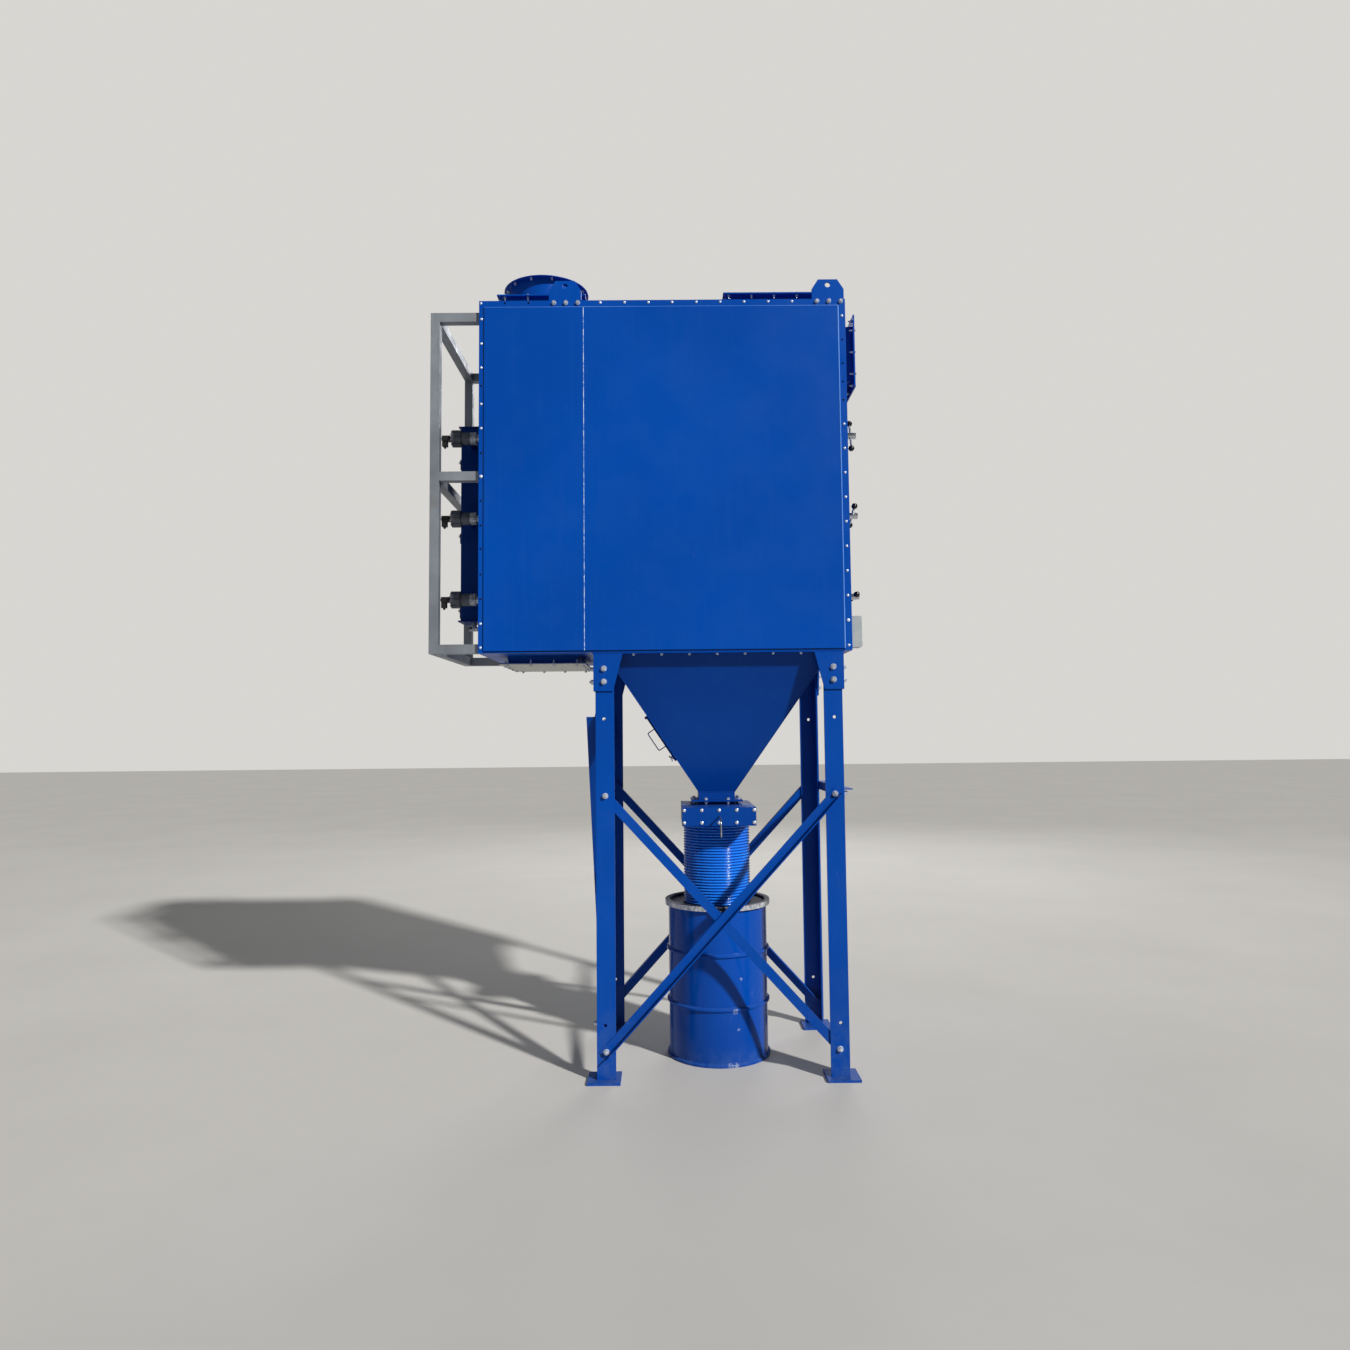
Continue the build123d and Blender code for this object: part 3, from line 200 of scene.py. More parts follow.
# Materials
class Shader:
    """A principled material with short calls for its nodes."""

    def __init__(self, name, roughness, metallic=0.0, coat=0.0, specular=0.5):
        self.material = bpy.data.materials.new(name)
        self.material.use_nodes = True
        self.tree = self.material.node_tree
        self.tree.nodes.clear()
        self.surface = self.tree.nodes.new("ShaderNodeBsdfPrincipled")
        output = self.tree.nodes.new("ShaderNodeOutputMaterial")
        self.link(self.surface.outputs["BSDF"], output.inputs["Surface"])
        self.surface.inputs["Roughness"].default_value = roughness
        self.surface.inputs["Metallic"].default_value = metallic
        self.surface.inputs["Coat Weight"].default_value = coat
        self.surface.inputs["Coat Roughness"].default_value = 0.12
        self.surface.inputs["Specular IOR Level"].default_value = specular
        coords = self.tree.nodes.new("ShaderNodeTexCoord")
        self.place = coords.outputs["Object"]
        self.normal = None

    def link(self, source, target):
        self.tree.links.new(source, target)

    def feed(self, socket, value):
        if hasattr(value, "links"):
            self.link(value, socket)
        else:
            socket.default_value = value

    def stretched(self, stretch):
        if stretch is None:
            return self.place
        node = self.tree.nodes.new("ShaderNodeMapping")
        node.inputs["Scale"].default_value = stretch
        self.link(self.place, node.inputs["Vector"])
        return node.outputs["Vector"]

    def noise(self, scale, detail=3.0, rough=0.5, stretch=None, distortion=0.0):
        node = self.tree.nodes.new("ShaderNodeTexNoise")
        node.inputs["Scale"].default_value = scale
        node.inputs["Detail"].default_value = detail
        node.inputs["Roughness"].default_value = rough
        node.inputs["Distortion"].default_value = distortion
        self.link(self.stretched(stretch), node.inputs["Vector"])
        return node.outputs["Fac"]

    def grain(self, scale):
        """One random value for each cell of a crystal-like pattern."""
        cells = self.tree.nodes.new("ShaderNodeTexVoronoi")
        cells.inputs["Scale"].default_value = scale
        self.link(self.place, cells.inputs["Vector"])
        channels = self.tree.nodes.new("ShaderNodeSeparateColor")
        self.link(cells.outputs["Color"], channels.inputs["Color"])
        return channels.outputs["Red"]

    def axis(self, name):
        node = self.tree.nodes.new("ShaderNodeSeparateXYZ")
        self.link(self.place, node.inputs["Vector"])
        return node.outputs[name]

    def from_axis(self):
        """Distance from the upright axis through the origin."""
        flat = self.tree.nodes.new("ShaderNodeCombineXYZ")
        self.link(self.axis("X"), flat.inputs["X"])
        self.link(self.axis("Y"), flat.inputs["Y"])
        node = self.tree.nodes.new("ShaderNodeVectorMath")
        node.operation = "LENGTH"
        self.link(flat.outputs["Vector"], node.inputs[0])
        return node.outputs["Value"]

    def from_point(self, centre):
        """Distance from a point."""
        node = self.tree.nodes.new("ShaderNodeVectorMath")
        node.operation = "DISTANCE"
        self.link(self.place, node.inputs[0])
        node.inputs[1].default_value = centre
        return node.outputs["Value"]

    def facing_up(self):
        """0 on upright faces and 1 on level ones that face up."""
        geometry = self.tree.nodes.new("ShaderNodeNewGeometry")
        node = self.tree.nodes.new("ShaderNodeSeparateXYZ")
        self.link(geometry.outputs["Normal"], node.inputs["Vector"])
        return self.span(node.outputs["Z"], 0.35, 0.95)

    def times(self, first, second):
        node = self.tree.nodes.new("ShaderNodeMath")
        node.operation = "MULTIPLY"
        self.feed(node.inputs[0], first)
        self.feed(node.inputs[1], second)
        return node.outputs[0]

    def span(self, value, low, high, to_low=0.0, to_high=1.0):
        """The value, moved from one range to another and kept inside it."""
        node = self.tree.nodes.new("ShaderNodeMapRange")
        self.feed(node.inputs["Value"], value)
        node.inputs["From Min"].default_value = low
        node.inputs["From Max"].default_value = high
        node.inputs["To Min"].default_value = to_low
        node.inputs["To Max"].default_value = to_high
        return node.outputs["Result"]

    def mix(self, factor, first, second):
        node = self.tree.nodes.new("ShaderNodeMix")
        node.data_type = "RGBA"
        self.feed(node.inputs["Factor"], factor)
        self.feed(node.inputs["A"], first)
        self.feed(node.inputs["B"], second)
        return node.outputs["Result"]

    def over(self, first, second, value, low, high, most=1.0):
        """The second colour over the first, from none at the low value to the most at the high one."""
        return self.mix(self.span(value, low, high, 0.0, most), first, second)

    def colour(self, value):
        self.feed(self.surface.inputs["Base Color"], value)

    def metallic(self, value):
        self.feed(self.surface.inputs["Metallic"], value)

    def roughness(self, value):
        self.feed(self.surface.inputs["Roughness"], value)

    def uneven(self, scale, detail, low, high):
        """Roughness that wanders between two values."""
        self.roughness(self.span(self.noise(scale, detail), 0.3, 0.7, low, high))

    def soft_edges(self, radius):
        """Round the shading over sharp edges, so that they catch the light."""
        node = self.tree.nodes.new("ShaderNodeBevel")
        node.samples = 4
        node.inputs["Radius"].default_value = radius
        self.normal = node.outputs["Normal"]
        self.link(self.normal, self.surface.inputs["Normal"])

    def bump(self, height, strength, distance):
        """Bumps on top of those that are there already."""
        node = self.tree.nodes.new("ShaderNodeBump")
        node.inputs["Strength"].default_value = strength
        node.inputs["Distance"].default_value = distance
        self.link(height, node.inputs["Height"])
        if self.normal is not None:
            self.link(self.normal, node.inputs["Normal"])
        self.normal = node.outputs["Normal"]
        self.link(self.normal, self.surface.inputs["Normal"])


def painted(
    name, base, deep, dust,
    roughness=0.34, coat=0.0, grime_to=0.0, settled=0.30, scuffs=0.10, chips=(), grit=0.0,
):
    """Gloss paint on steel: two close shades, dust, scuffs, orange peel and faint waves everywhere,
    with grime near the floor, chips or grit where they are asked for."""
    look = Shader(name, roughness, coat=coat, specular=0.12)
    shade = look.over(base, deep, look.noise(0.8, 2.0), 0.35, 0.65)
    shade = look.over(shade, dust, look.noise(5.5, 5.0, 0.62), 0.50, 0.80, 0.06)
    shade = look.over(shade, dust, look.noise(7.0, 4.0, 0.6, (6.0, 6.0, 0.22)), 0.55, 0.75, 0.05)
    film = look.span(look.noise(9.0, 5.0, 0.65), 0.35, 0.7, settled * 0.4, settled)
    shade = look.mix(look.times(look.facing_up(), film), shade, dust)
    scratches = look.noise(34.0, 6.0, 0.7, (1.0, 1.0, 0.35), 1.4)
    shade = look.over(shade, SCUFF, scratches, 0.67, 0.71, scuffs)
    if grime_to:
        low = look.span(look.axis("Z"), 0.0, grime_to, 1.0, 0.0)
        grime = look.span(look.noise(14.0, 5.0, 0.7), 0.4, 0.75, 0.0, 0.5)
        shade = look.mix(look.times(low, grime), shade, dust)
    for centre, radius in chips:
        near = look.span(look.from_point(centre), 0.0, radius, 1.0, 0.0)
        broken = look.span(look.noise(120.0, 5.0, 0.7, (1.0, 1.0, 1.8)), 0.50, 0.56)
        worn = look.times(look.span(near, 0.2, 0.5, 0.0, 0.8), broken)
        shade = look.mix(worn, shade, CHIP)
    if grit:
        shade = look.over(shade, GRIT, look.noise(150.0, 3.0, 0.6), 0.56, 0.64, grit)
    look.colour(shade)
    look.uneven(4.0, 4.0, roughness - 0.06, roughness + 0.08)
    look.soft_edges(0.0022)
    look.bump(look.noise(2.2, 2.0), 0.16, 0.010)
    look.bump(look.noise(420.0, 2.0), 0.06, 0.0004)
    return look.material


def bare_steel(name):
    """Rolled steel with streaks of mill scale and a few warm stains."""
    look = Shader(name, 0.5, metallic=0.45)
    shade = look.over(srgb(146, 153, 161), srgb(124, 130, 139), look.noise(3.0, 5.0, 0.6), 0.35, 0.65)
    shade = look.over(shade, MILL_SCALE, look.noise(12.0, 6.0, 0.7, (1.0, 1.0, 0.15)), 0.50, 0.72, 0.45)
    look.colour(look.over(shade, WARM_STEEL, look.noise(5.0, 6.0, 0.72), 0.60, 0.74, 0.35))
    look.uneven(8.0, 4.0, 0.42, 0.62)
    look.soft_edges(0.002)
    look.bump(look.noise(160.0, 3.0), 0.10, 0.0005)
    return look.material


def plated(name, bright, dull, roughness, metallic=1.0, spangle=0.0, rust=0.0, top=None):
    """Plated steel, with the grain of hot zinc, specks of rust or other top faces where asked for."""
    look = Shader(name, roughness, metallic=metallic)
    shade = look.over(bright, dull, look.noise(60.0, 4.0, 0.6), 0.4, 0.65)
    if spangle:
        shade = look.over(shade, dull, look.grain(spangle), 0.0, 1.0, 0.30)
    if top:
        shade = look.mix(look.facing_up(), shade, top)
    if rust:
        stain = look.span(look.noise(18.0, 6.0, 0.75), 0.54, 0.66, 0.0, rust)
        shade = look.mix(stain, shade, RUST)
        look.roughness(look.span(stain, 0.0, rust, roughness, 0.8))
        look.metallic(look.span(stain, 0.0, rust, metallic, 0.1))
    else:
        look.uneven(30.0, 4.0, roughness - 0.08, roughness + 0.12)
    look.colour(shade)
    look.bump(look.noise(300.0, 2.0), 0.08, 0.0003)
    return look.material


def moulded(name, base, light, roughness, metallic=0.0):
    """Even surface with small rubbed places, for plastic, cast metal and dull screws."""
    look = Shader(name, roughness, metallic=metallic)
    shade = look.over(base, light, look.noise(18.0, 4.0, 0.6), 0.4, 0.7)
    look.colour(look.over(shade, RUBBED, look.noise(90.0, 5.0, 0.7), 0.64, 0.76, 0.12))
    look.uneven(25.0, 3.0, roughness - 0.06, roughness + 0.10)
    look.bump(look.noise(300.0, 2.0), 0.10, 0.0003)
    return look.material


def pale_bead_and_highlight(name):
    """Pale sealing bead, thin and thick by turns, made paler to paint the highlight on the lapped seam as
    well.
    """
    look = Shader(name, 0.45)
    look.colour(look.over(
        srgb(206, 222, 246), srgb(74, 128, 212), look.noise(26.0, 5.0, 0.7), 0.40, 0.58,
    ))
    look.uneven(12.0, 3.0, 0.40, 0.55)
    look.bump(look.noise(90.0, 3.0), 0.30, 0.0010)
    return look.material


def hose_plastic(name):
    """Clear blue plastic, darker in the grooves as painted shade."""
    look = Shader(name, 0.20, coat=0.6, specular=0.4)
    cloud = look.over(srgb(30, 136, 250), srgb(20, 118, 238), look.noise(4.0, 3.0, 0.5), 0.35, 0.7)
    ridge_end = HOSE_RADIUS + HOSE_RIB * 0.75
    look.colour(look.over(srgb(2, 56, 156), cloud, look.from_axis(), HOSE_RADIUS, ridge_end))
    look.uneven(12.0, 3.0, 0.16, 0.28)
    look.bump(look.noise(7.0, 2.0), 0.10, 0.0015)
    return look.material


def handle_metal(name, centre):
    """Bright bar and hub, with black knobs as far out as the ends of the bar."""
    look = Shader(name, 0.16, metallic=1.0)
    knob = look.span(look.from_point(centre), KNOB_START, KNOB_START + KNOB_EDGE)
    bright = look.over(srgb(214, 217, 222), srgb(178, 182, 190), look.noise(60.0, 4.0, 0.6), 0.4, 0.65)
    black = look.over(srgb(10, 10, 11), srgb(18, 18, 20), look.noise(40.0, 3.0), 0.4, 0.7)
    look.colour(look.mix(knob, bright, black))
    look.metallic(look.span(knob, 0.0, 1.0, 1.0, 0.0))
    look.uneven(25.0, 3.0, 0.12, 0.26)
    look.bump(look.noise(220.0, 2.0), 0.05, 0.0003)
    return look.material


cabinet_paint = painted("cabinet_paint", BLUE, BLUE_DEEP, BLUE_DUST)
# Darker copy of the cabinet paint: painted shade, because of how the light falls on the hopper's slopes
# and the parts under it
hopper_shaded_paint = painted("hopper_shaded_paint", srgb(0, 62, 148), srgb(0, 52, 132), BLUE_DUST)
leg_paint = painted(
    "leg_paint", srgb(0, 72, 166), srgb(0, 64, 152), srgb(84, 108, 148), grime_to=0.45, scuffs=0.22,
)
drum_paint = painted(
    "drum_paint", srgb(0, 74, 172), srgb(0, 62, 150), srgb(80, 110, 160),
    roughness=0.22, coat=0.12, grime_to=0.12, scuffs=0.40, chips=DRUM_CHIPS,
)
# Darker blue than the cabinet: painted shade, as the header sits in the shade of the cabinet
header_shaded_paint = painted("header_shaded_paint", srgb(4, 50, 124), srgb(4, 44, 110), srgb(70, 92, 130))
# Pale blue: painted highlight on the panels' folded edges
edge_highlight_paint = painted(
    "edge_highlight_paint", srgb(128, 178, 244), srgb(70, 130, 222), srgb(160, 190, 230), roughness=0.26,
)
# Dark blue that paints shade: in the gaps beside and below the panels, and on the fasteners in shade
painted_shade = painted("painted_shade", srgb(4, 30, 82), srgb(4, 24, 66), srgb(30, 50, 90))
lid_dark = painted(
    "lid_dark", srgb(24, 34, 62), srgb(18, 26, 48), srgb(84, 88, 98), scuffs=0.3, grit=0.5,
)
frame_steel = bare_steel("frame_steel")
zinc = plated("bolt_zinc", srgb(222, 230, 242), srgb(176, 184, 198), 0.26, 0.55)
screw_zinc = moulded("screw_zinc", srgb(214, 226, 244), srgb(188, 204, 230), 0.30, metallic=0.3)
seam_bead_and_highlight = pale_bead_and_highlight("seam_bead_and_highlight")
rod_steel = plated("rod_steel", srgb(180, 188, 200), srgb(130, 138, 150), 0.30)
galvanised = plated(
    "galvanised_sheet", srgb(205, 205, 196), srgb(168, 168, 160), 0.45, 0.6, spangle=60.0,
)
ring_rusty = plated(
    "ring_rusty", srgb(226, 230, 236), srgb(160, 164, 170), 0.34, 0.6, rust=0.65, top=srgb(62, 64, 72),
)
valve_alloy = moulded("valve_alloy", srgb(84, 88, 98), srgb(108, 112, 122), 0.42, metallic=0.5)
coil_black = moulded("coil_black", srgb(18, 18, 20), srgb(30, 30, 32), 0.42)
box_grey = moulded("box_grey", srgb(160, 168, 172), srgb(172, 178, 182), 0.36)
cartridge_white = moulded("cartridge_white", srgb(214, 208, 192), srgb(196, 190, 172), 0.85)
hose_blue = hose_plastic("hose_plastic")

LOOKS = {
    leg_paint: (
        "foot_plates", "legs", "leg_brackets", "front_braces", "back_braces", "left_braces", "right_strut",
    ),
    hopper_shaded_paint: (
        "hopper", "hatch_door", "hatch_hinge", "gate_top_plate", "gate_bottom_plate", "gate_rails",
        "gate_front_plate", "gate_ledges",
    ),
    drum_paint: ("drum_shell",),
    header_shaded_paint: ("air_header",),
    frame_steel: ("guard_frame",),
    rod_steel: ("gate_blade", "gate_pull_rod", "header_drain", "blow_pipes"),
    galvanised: ("floor_collar_blank",),
    ring_rusty: ("drum_closure_ring",),
    lid_dark: ("drum_lid", "closure_lug"),
    hose_blue: ("flexible_hose",),
    valve_alloy: ("pulse_valves",),
    coil_black: ("valve_coils",),
    cartridge_white: ("filter_cartridges",),
    box_grey: ("control_box",),
}
for node in nodes.values():
    node.data.materials.clear()
    node.data.materials.append(cabinet_paint)
for material, names in LOOKS.items():
    for name in names:
        nodes[name].data.materials[0] = material
hub_places = []
for number in range(1, 7):
    name = f"cover_handle_{number}"
    low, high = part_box(name)
    hub = Vector((low.x + HANDLE_BAR_OFFSET, (low.y + high.y) / 2, (low.z + high.z) / 2))
    hub_places.append(hub)
    nodes[name].data.materials[0] = handle_metal(f"handle_metal_{number}", hub)


# Mesh helpers
def make_piece(name, shape, material, body=ROOT, angle=35):
    """Object of a finished shape, riding on its body; edges sharper than the angle stay sharp."""
    mesh = bpy.data.meshes.new(name)
    bmesh.ops.remove_doubles(shape, verts=shape.verts, dist=1e-6)
    bmesh.ops.recalc_face_normals(shape, faces=shape.faces)
    shape.to_mesh(mesh)
    shape.free()
    piece = bpy.data.objects.new(name, mesh)
    bpy.context.scene.collection.objects.link(piece)
    mesh.materials.append(material)
    mesh.shade_smooth()
    mesh.set_sharp_from_angle(angle=math.radians(angle))
    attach(piece, body)
    return piece


def turned(axis):
    """Matrix that turns +Z to the axis."""
    return Vector((0, 0, 1)).rotation_difference(Vector(axis)).to_matrix().to_4x4()


def skin(shape, loops, close_start=True, close_end=True):
    """Faces between loops of vertices, and over the first and the last of them."""
    for low, high in zip(loops, loops[1:]):
        for i in range(len(low)):
            k = (i + 1) % len(low)
            shape.faces.new((low[i], low[k], high[k], high[i]))
    if close_start:
        shape.faces.new(loops[0][::-1])
    if close_end:
        shape.faces.new(loops[-1])


def lathe(shape, rings, sides, matrix, close_start=True, close_end=True):
    """Rings of (radius, height), turned about Z and then put in place by the matrix."""
    loops = []
    for radius, height in rings:
        loops.append([
            shape.verts.new(matrix @ Vector((
                radius * math.cos(2 * math.pi * i / sides),
                radius * math.sin(2 * math.pi * i / sides),
                height,
            )))
            for i in range(sides)
        ])
    skin(shape, loops, close_start, close_end)


def rod(shape, start, end, radius, sides=10):
    """Round bar between two points, with narrowed ends."""
    start = Vector(start)
    along = Vector(end) - start
    tip = radius * 0.7
    taper = radius * 0.3
    rings = ((tip, 0.0), (radius, taper), (radius, along.length - taper), (tip, along.length))
    lathe(shape, rings, sides, Matrix.Translation(start) @ turned(along))


def hex_bolt(shape, at, axis, across, stub=0.0):
    """Hexagon head on a washer, with its back on the point, and optionally the bolt's end beyond it."""
    spin = Matrix.Rotation(random.uniform(0, math.pi / 3), 4, "Z")
    matrix = Matrix.Translation(at) @ turned(axis) @ spin
    radius = across / math.sqrt(3)
    wide = across * 0.68
    base = across * 0.13
    top = base + across * 0.60
    lathe(shape, ((wide, 0.0), (wide, base * 0.7), (wide * 0.94, base)), 20, matrix)
    lathe(shape, ((radius, base), (radius, top - across * 0.10), (radius * 0.84, top)), 6, matrix)
    lathe(shape, ((radius * 0.74, top), (radius * 0.70, top + across * 0.03)), 12, matrix)
    if stub:
        thread = across * 0.30
        end = top + stub
        lathe(shape, ((thread, top), (thread, end - thread * 0.3), (thread * 0.7, end)), 10, matrix)


def dome_screw(shape, at, axis, diameter):
    """Round flanged screw head."""
    matrix = Matrix.Translation(at) @ turned(axis)
    radius = diameter / 2
    height = diameter * 0.42
    crown = (radius * 0.70, height * 0.42)
    flange = ((radius, 0.0), (radius, height * 0.22), (radius * 0.86, height * 0.36), crown)
    dome = (crown, (radius * 0.66, height * 0.85), (radius * 0.45, height))
    lathe(shape, flange, 16, matrix, close_end=False)
    lathe(shape, dome, 16, matrix, close_start=False)


def bolts(name, places, axis, across, stub=0.0, material=zinc):
    shape = bmesh.new()
    for place in places:
        hex_bolt(shape, Vector(place), axis, across, stub)
    make_piece(name, shape, material, angle=30)


def screws(name, places, axis, diameter, material=zinc):
    shape = bmesh.new()
    for place in places:
        dome_screw(shape, Vector(place), axis, diameter)
    make_piece(name, shape, material, angle=40)


def on_edges(y, top, left, right):
    """Bolt places on the top, left and right edges of the cabinet's front or back."""
    places = [(x, y, TOP_BOLT_Z) for x in top]
    places += [(LEFT_BOLT_X, y, z) for z in left]
    places += [(RIGHT_BOLT_X, y, z) for z in right]
    return places


def on_rim(box, inset_x, inset_y, count_x, count_y, pitch, shift=0.0):
    """Bolt places round a rectangular flange, at one pitch along each side."""
    low, high = box
    centre = (low.x + high.x) / 2 + shift
    half_x = (high.x - low.x) / 2 - inset_x
    half_y = (high.y - low.y) / 2 - inset_y
    places = []
    for i in range(count_x):
        x = centre + (i - (count_x - 1) / 2) * pitch
        places += [(x, -half_y), (x, half_y)]
    for i in range(count_y):
        y = (i - (count_y - 1) / 2) * pitch
        places += [(centre - half_x, y), (centre + half_x, y)]
    return places


def at_height(places, z):
    return [(x, y, z) for x, y in places]


# Bolts along the edges of the front and back panels
for side, tag in ((-1, "front"), (1, "back")):
    outward = (0, side, 0)
    face = side * STRIP_Y
    bright = on_edges(face, TOP_BRIGHT_X, LEFT_BRIGHT_Z, RIGHT_BRIGHT_Z)
    in_shade = on_edges(face, TOP_SHADE_X, LEFT_SHADE_Z, RIGHT_SHADE_Z)
    flanged = on_edges(face, (), LEFT_FLANGED_Z, RIGHT_FLANGED_Z)
    lugs = [(x, face, TOP_BOLT_Z) for x in LUG_BOLT_X]
    screws(f"{tag}_panel_screws", bright, outward, EDGE_SCREW, screw_zinc)
    # Dark heads at the places in shade: painted shade
    screws(f"{tag}_panel_shade_screws", in_shade, outward, EDGE_SHADE_SCREW, painted_shade)
    screws(f"{tag}_flanged_screws", flanged, outward, FLANGED_SCREW, screw_zinc)
    bolts(f"{tag}_lug_bolts", lugs, outward, LUG_BOLT)

# Bolts of the brackets, the braces and the strut
for side, tag in ((-1, "front"), (1, "back")):
    outward = (0, side, 0)
    face = side * (LEG_Y + BRACKET)
    places = [(way * BRACKET_BOLT_X, face, z) for way in (-1, 1) for z in BRACKET_LEVELS]
    ends = (
        (BRACE_BOLT_X, side * (LEG_Y + BRACE), STRUT_Z),
        (-BRACE_BOLT_X, side * (LEG_Y + BRACE), FRONT_BRACE_LOW_Z),
        (-BRACE_BOLT_X, side * LEG_Y, STRUT_Z),
        (BRACE_BOLT_X, side * LEG_Y, FRONT_BRACE_LOW_Z),
    )
    bolts(f"{tag}_bracket_bolts", places, outward, FRAME_BOLT)
    bolts(f"{tag}_brace_bolts", ends, outward, FRAME_BOLT, BRACE_STUB)
for side, tag in ((-1, "left"), (1, "right")):
    face = side * (LEG_X + BRACKET)
    places = [(face, way * BRACKET_BOLT_Y, z) for way in (-1, 1) for z in BRACKET_LEVELS]
    bolts(f"{tag}_bracket_bolts", places, (side, 0, 0), FRAME_BOLT, BRACKET_STUB)
left_ends = (
    (-LEG_X - BRACE, -BRACE_BOLT_Y, LEFT_BRACE_HIGH_Z),
    (-LEG_X - BRACE, BRACE_BOLT_Y, LEFT_BRACE_LOW_Z),
    (-LEG_X, BRACE_BOLT_Y, LEFT_BRACE_HIGH_Z),
    (-LEG_X, -BRACE_BOLT_Y, LEFT_BRACE_LOW_Z),
)
bolts("left_brace_bolts", left_ends, (-1, 0, 0), FRAME_BOLT, BRACE_STUB)
strut_ends = [(LEG_X + BRACE, way * BRACE_BOLT_Y, STRUT_Z) for way in (-1, 1)]
bolts("strut_bolts", strut_ends, (1, 0, 0), FRAME_BOLT, BRACE_STUB)

# Nuts under the hopper flange and round its ends
nut_row_x = HOPPER_HIGH.x - FLANGE_NUT_INSET
nut_row_y = HOPPER_HIGH.y - FLANGE_NUT_INSET
nuts = [(x, way * nut_row_y, HOPPER_TOP_Z) for x in FLANGE_NUT_X for way in (-1, 1)]
nuts += [(way * nut_row_x, y, HOPPER_TOP_Z) for y in FLANGE_NUT_Y for way in (-1, 1)]
bolts("hopper_flange_nuts", nuts, (0, 0, -1), HOPPER_NUT, material=screw_zinc)

# Slide gate: front plate screws and the bolts of its neck flanges
gate_low, gate_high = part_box("gate_front_plate")
columns = [(gate_low.x + gate_high.x) / 2 + GATE_SCREW_PITCH * i for i in range(-2, 3)]
rows = (gate_high.z - 0.015, gate_low.z + 0.018)
plate_places = [(x, gate_low.y, z) for x in columns for z in rows]
screws("gate_plate_screws", plate_places, (0, -1, 0), GATE_SCREW)
neck_sides = (-NECK_BOLT_SIDE, NECK_BOLT_SIDE)
neck_places = [(x, way * NECK_BOLT_OUT) for x in neck_sides for way in (-1, 1)]
neck_places += [(way * NECK_BOLT_OUT, y) for y in neck_sides for way in (-1, 1)]
neck_top = HOPPER_LOW.z + GATE_FLANGE
neck_bottom = neck_top - 2 * GATE_FLANGE
bolts("gate_neck_bolts", at_height(neck_places, neck_top), (0, 0, 1), NECK_BOLT)
bolts("gate_neck_nuts", at_height(neck_places, neck_bottom), (0, 0, -1), NECK_BOLT, NECK_STUB)

# Outlet: the ring at its top and the flange at its base
outlet_low, outlet_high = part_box("outlet_stack")
outlet_x = (outlet_low.x + outlet_high.x) / 2
ring = []
for i in range(12):
    turn = math.radians(15 + 30 * i)
    ring.append((outlet_x + OUTLET_CIRCLE * math.cos(turn), OUTLET_CIRCLE * math.sin(turn)))
bolts("outlet_ring_screws", at_height(ring, outlet_high.z - DUCT_FLANGE), (0, 0, -1), DUCT_BOLT, RING_STUB)
base = on_rim(
    (outlet_low, outlet_high), OUTLET_BASE_INSET, OUTLET_BASE_INSET, 4, 4, OUTLET_BASE_PITCH,
    OUTLET_BASE_SHIFT,
)
base_low = outlet_low.z - DUCT_FLANGE
base_high = outlet_low.z + DUCT_FLANGE
bolts("outlet_base_bolts", at_height(base, base_low), (0, 0, -1), DUCT_BOLT, DUCT_STUB)
bolts("outlet_base_heads", at_height(base, base_high), (0, 0, 1), DUCT_BOLT)

# The blanked inlets and the blanked collar
inlet_low, inlet_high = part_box("top_inlet_blank")
inlet = on_rim((inlet_low, inlet_high), INLET_INSET, INLET_INSET, 5, 4, TOP_INLET_PITCH)
bolts("top_inlet_nuts", at_height(inlet, inlet_low.z - DUCT_FLANGE), (0, 0, -1), DUCT_BOLT, DUCT_STUB)
bolts("top_inlet_heads", at_height(inlet, inlet_high.z), (0, 0, 1), DUCT_BOLT)
side_low, side_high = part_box("side_inlet_blank")
side_z = (side_low.z + side_high.z) / 2
side_places = []
for i in range(-3, 4):
    y = i * SIDE_INLET_PITCH
    side_places += [(y, side_high.z - INLET_INSET), (y, side_low.z + INLET_INSET)]
for z in (side_z - SIDE_INLET_PITCH, side_z, side_z + SIDE_INLET_PITCH):
    side_places += [(side_low.y + INLET_INSET, z), (side_high.y - INLET_INSET, z)]
side_heads = [(side_high.x, y, z) for y, z in side_places]
side_nuts = [(side_low.x - DUCT_FLANGE, y, z) for y, z in side_places]
bolts("side_inlet_heads", side_heads, (1, 0, 0), DUCT_BOLT)
bolts("side_inlet_nuts", side_nuts, (-1, 0, 0), DUCT_BOLT, DUCT_STUB)
collar_low, collar_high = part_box("floor_collar_blank")
collar = on_rim((collar_low, collar_high), COLLAR_INSET_X, COLLAR_INSET_Y, 4, 4, COLLAR_PITCH)
collar_top = collar_high.z + DUCT_FLANGE
bolts("floor_blank_heads", at_height(collar, collar_low.z), (0, 0, -1), DUCT_BOLT)
bolts("floor_blank_nuts", at_height(collar, collar_top), (0, 0, 1), DUCT_BOLT, DUCT_STUB)

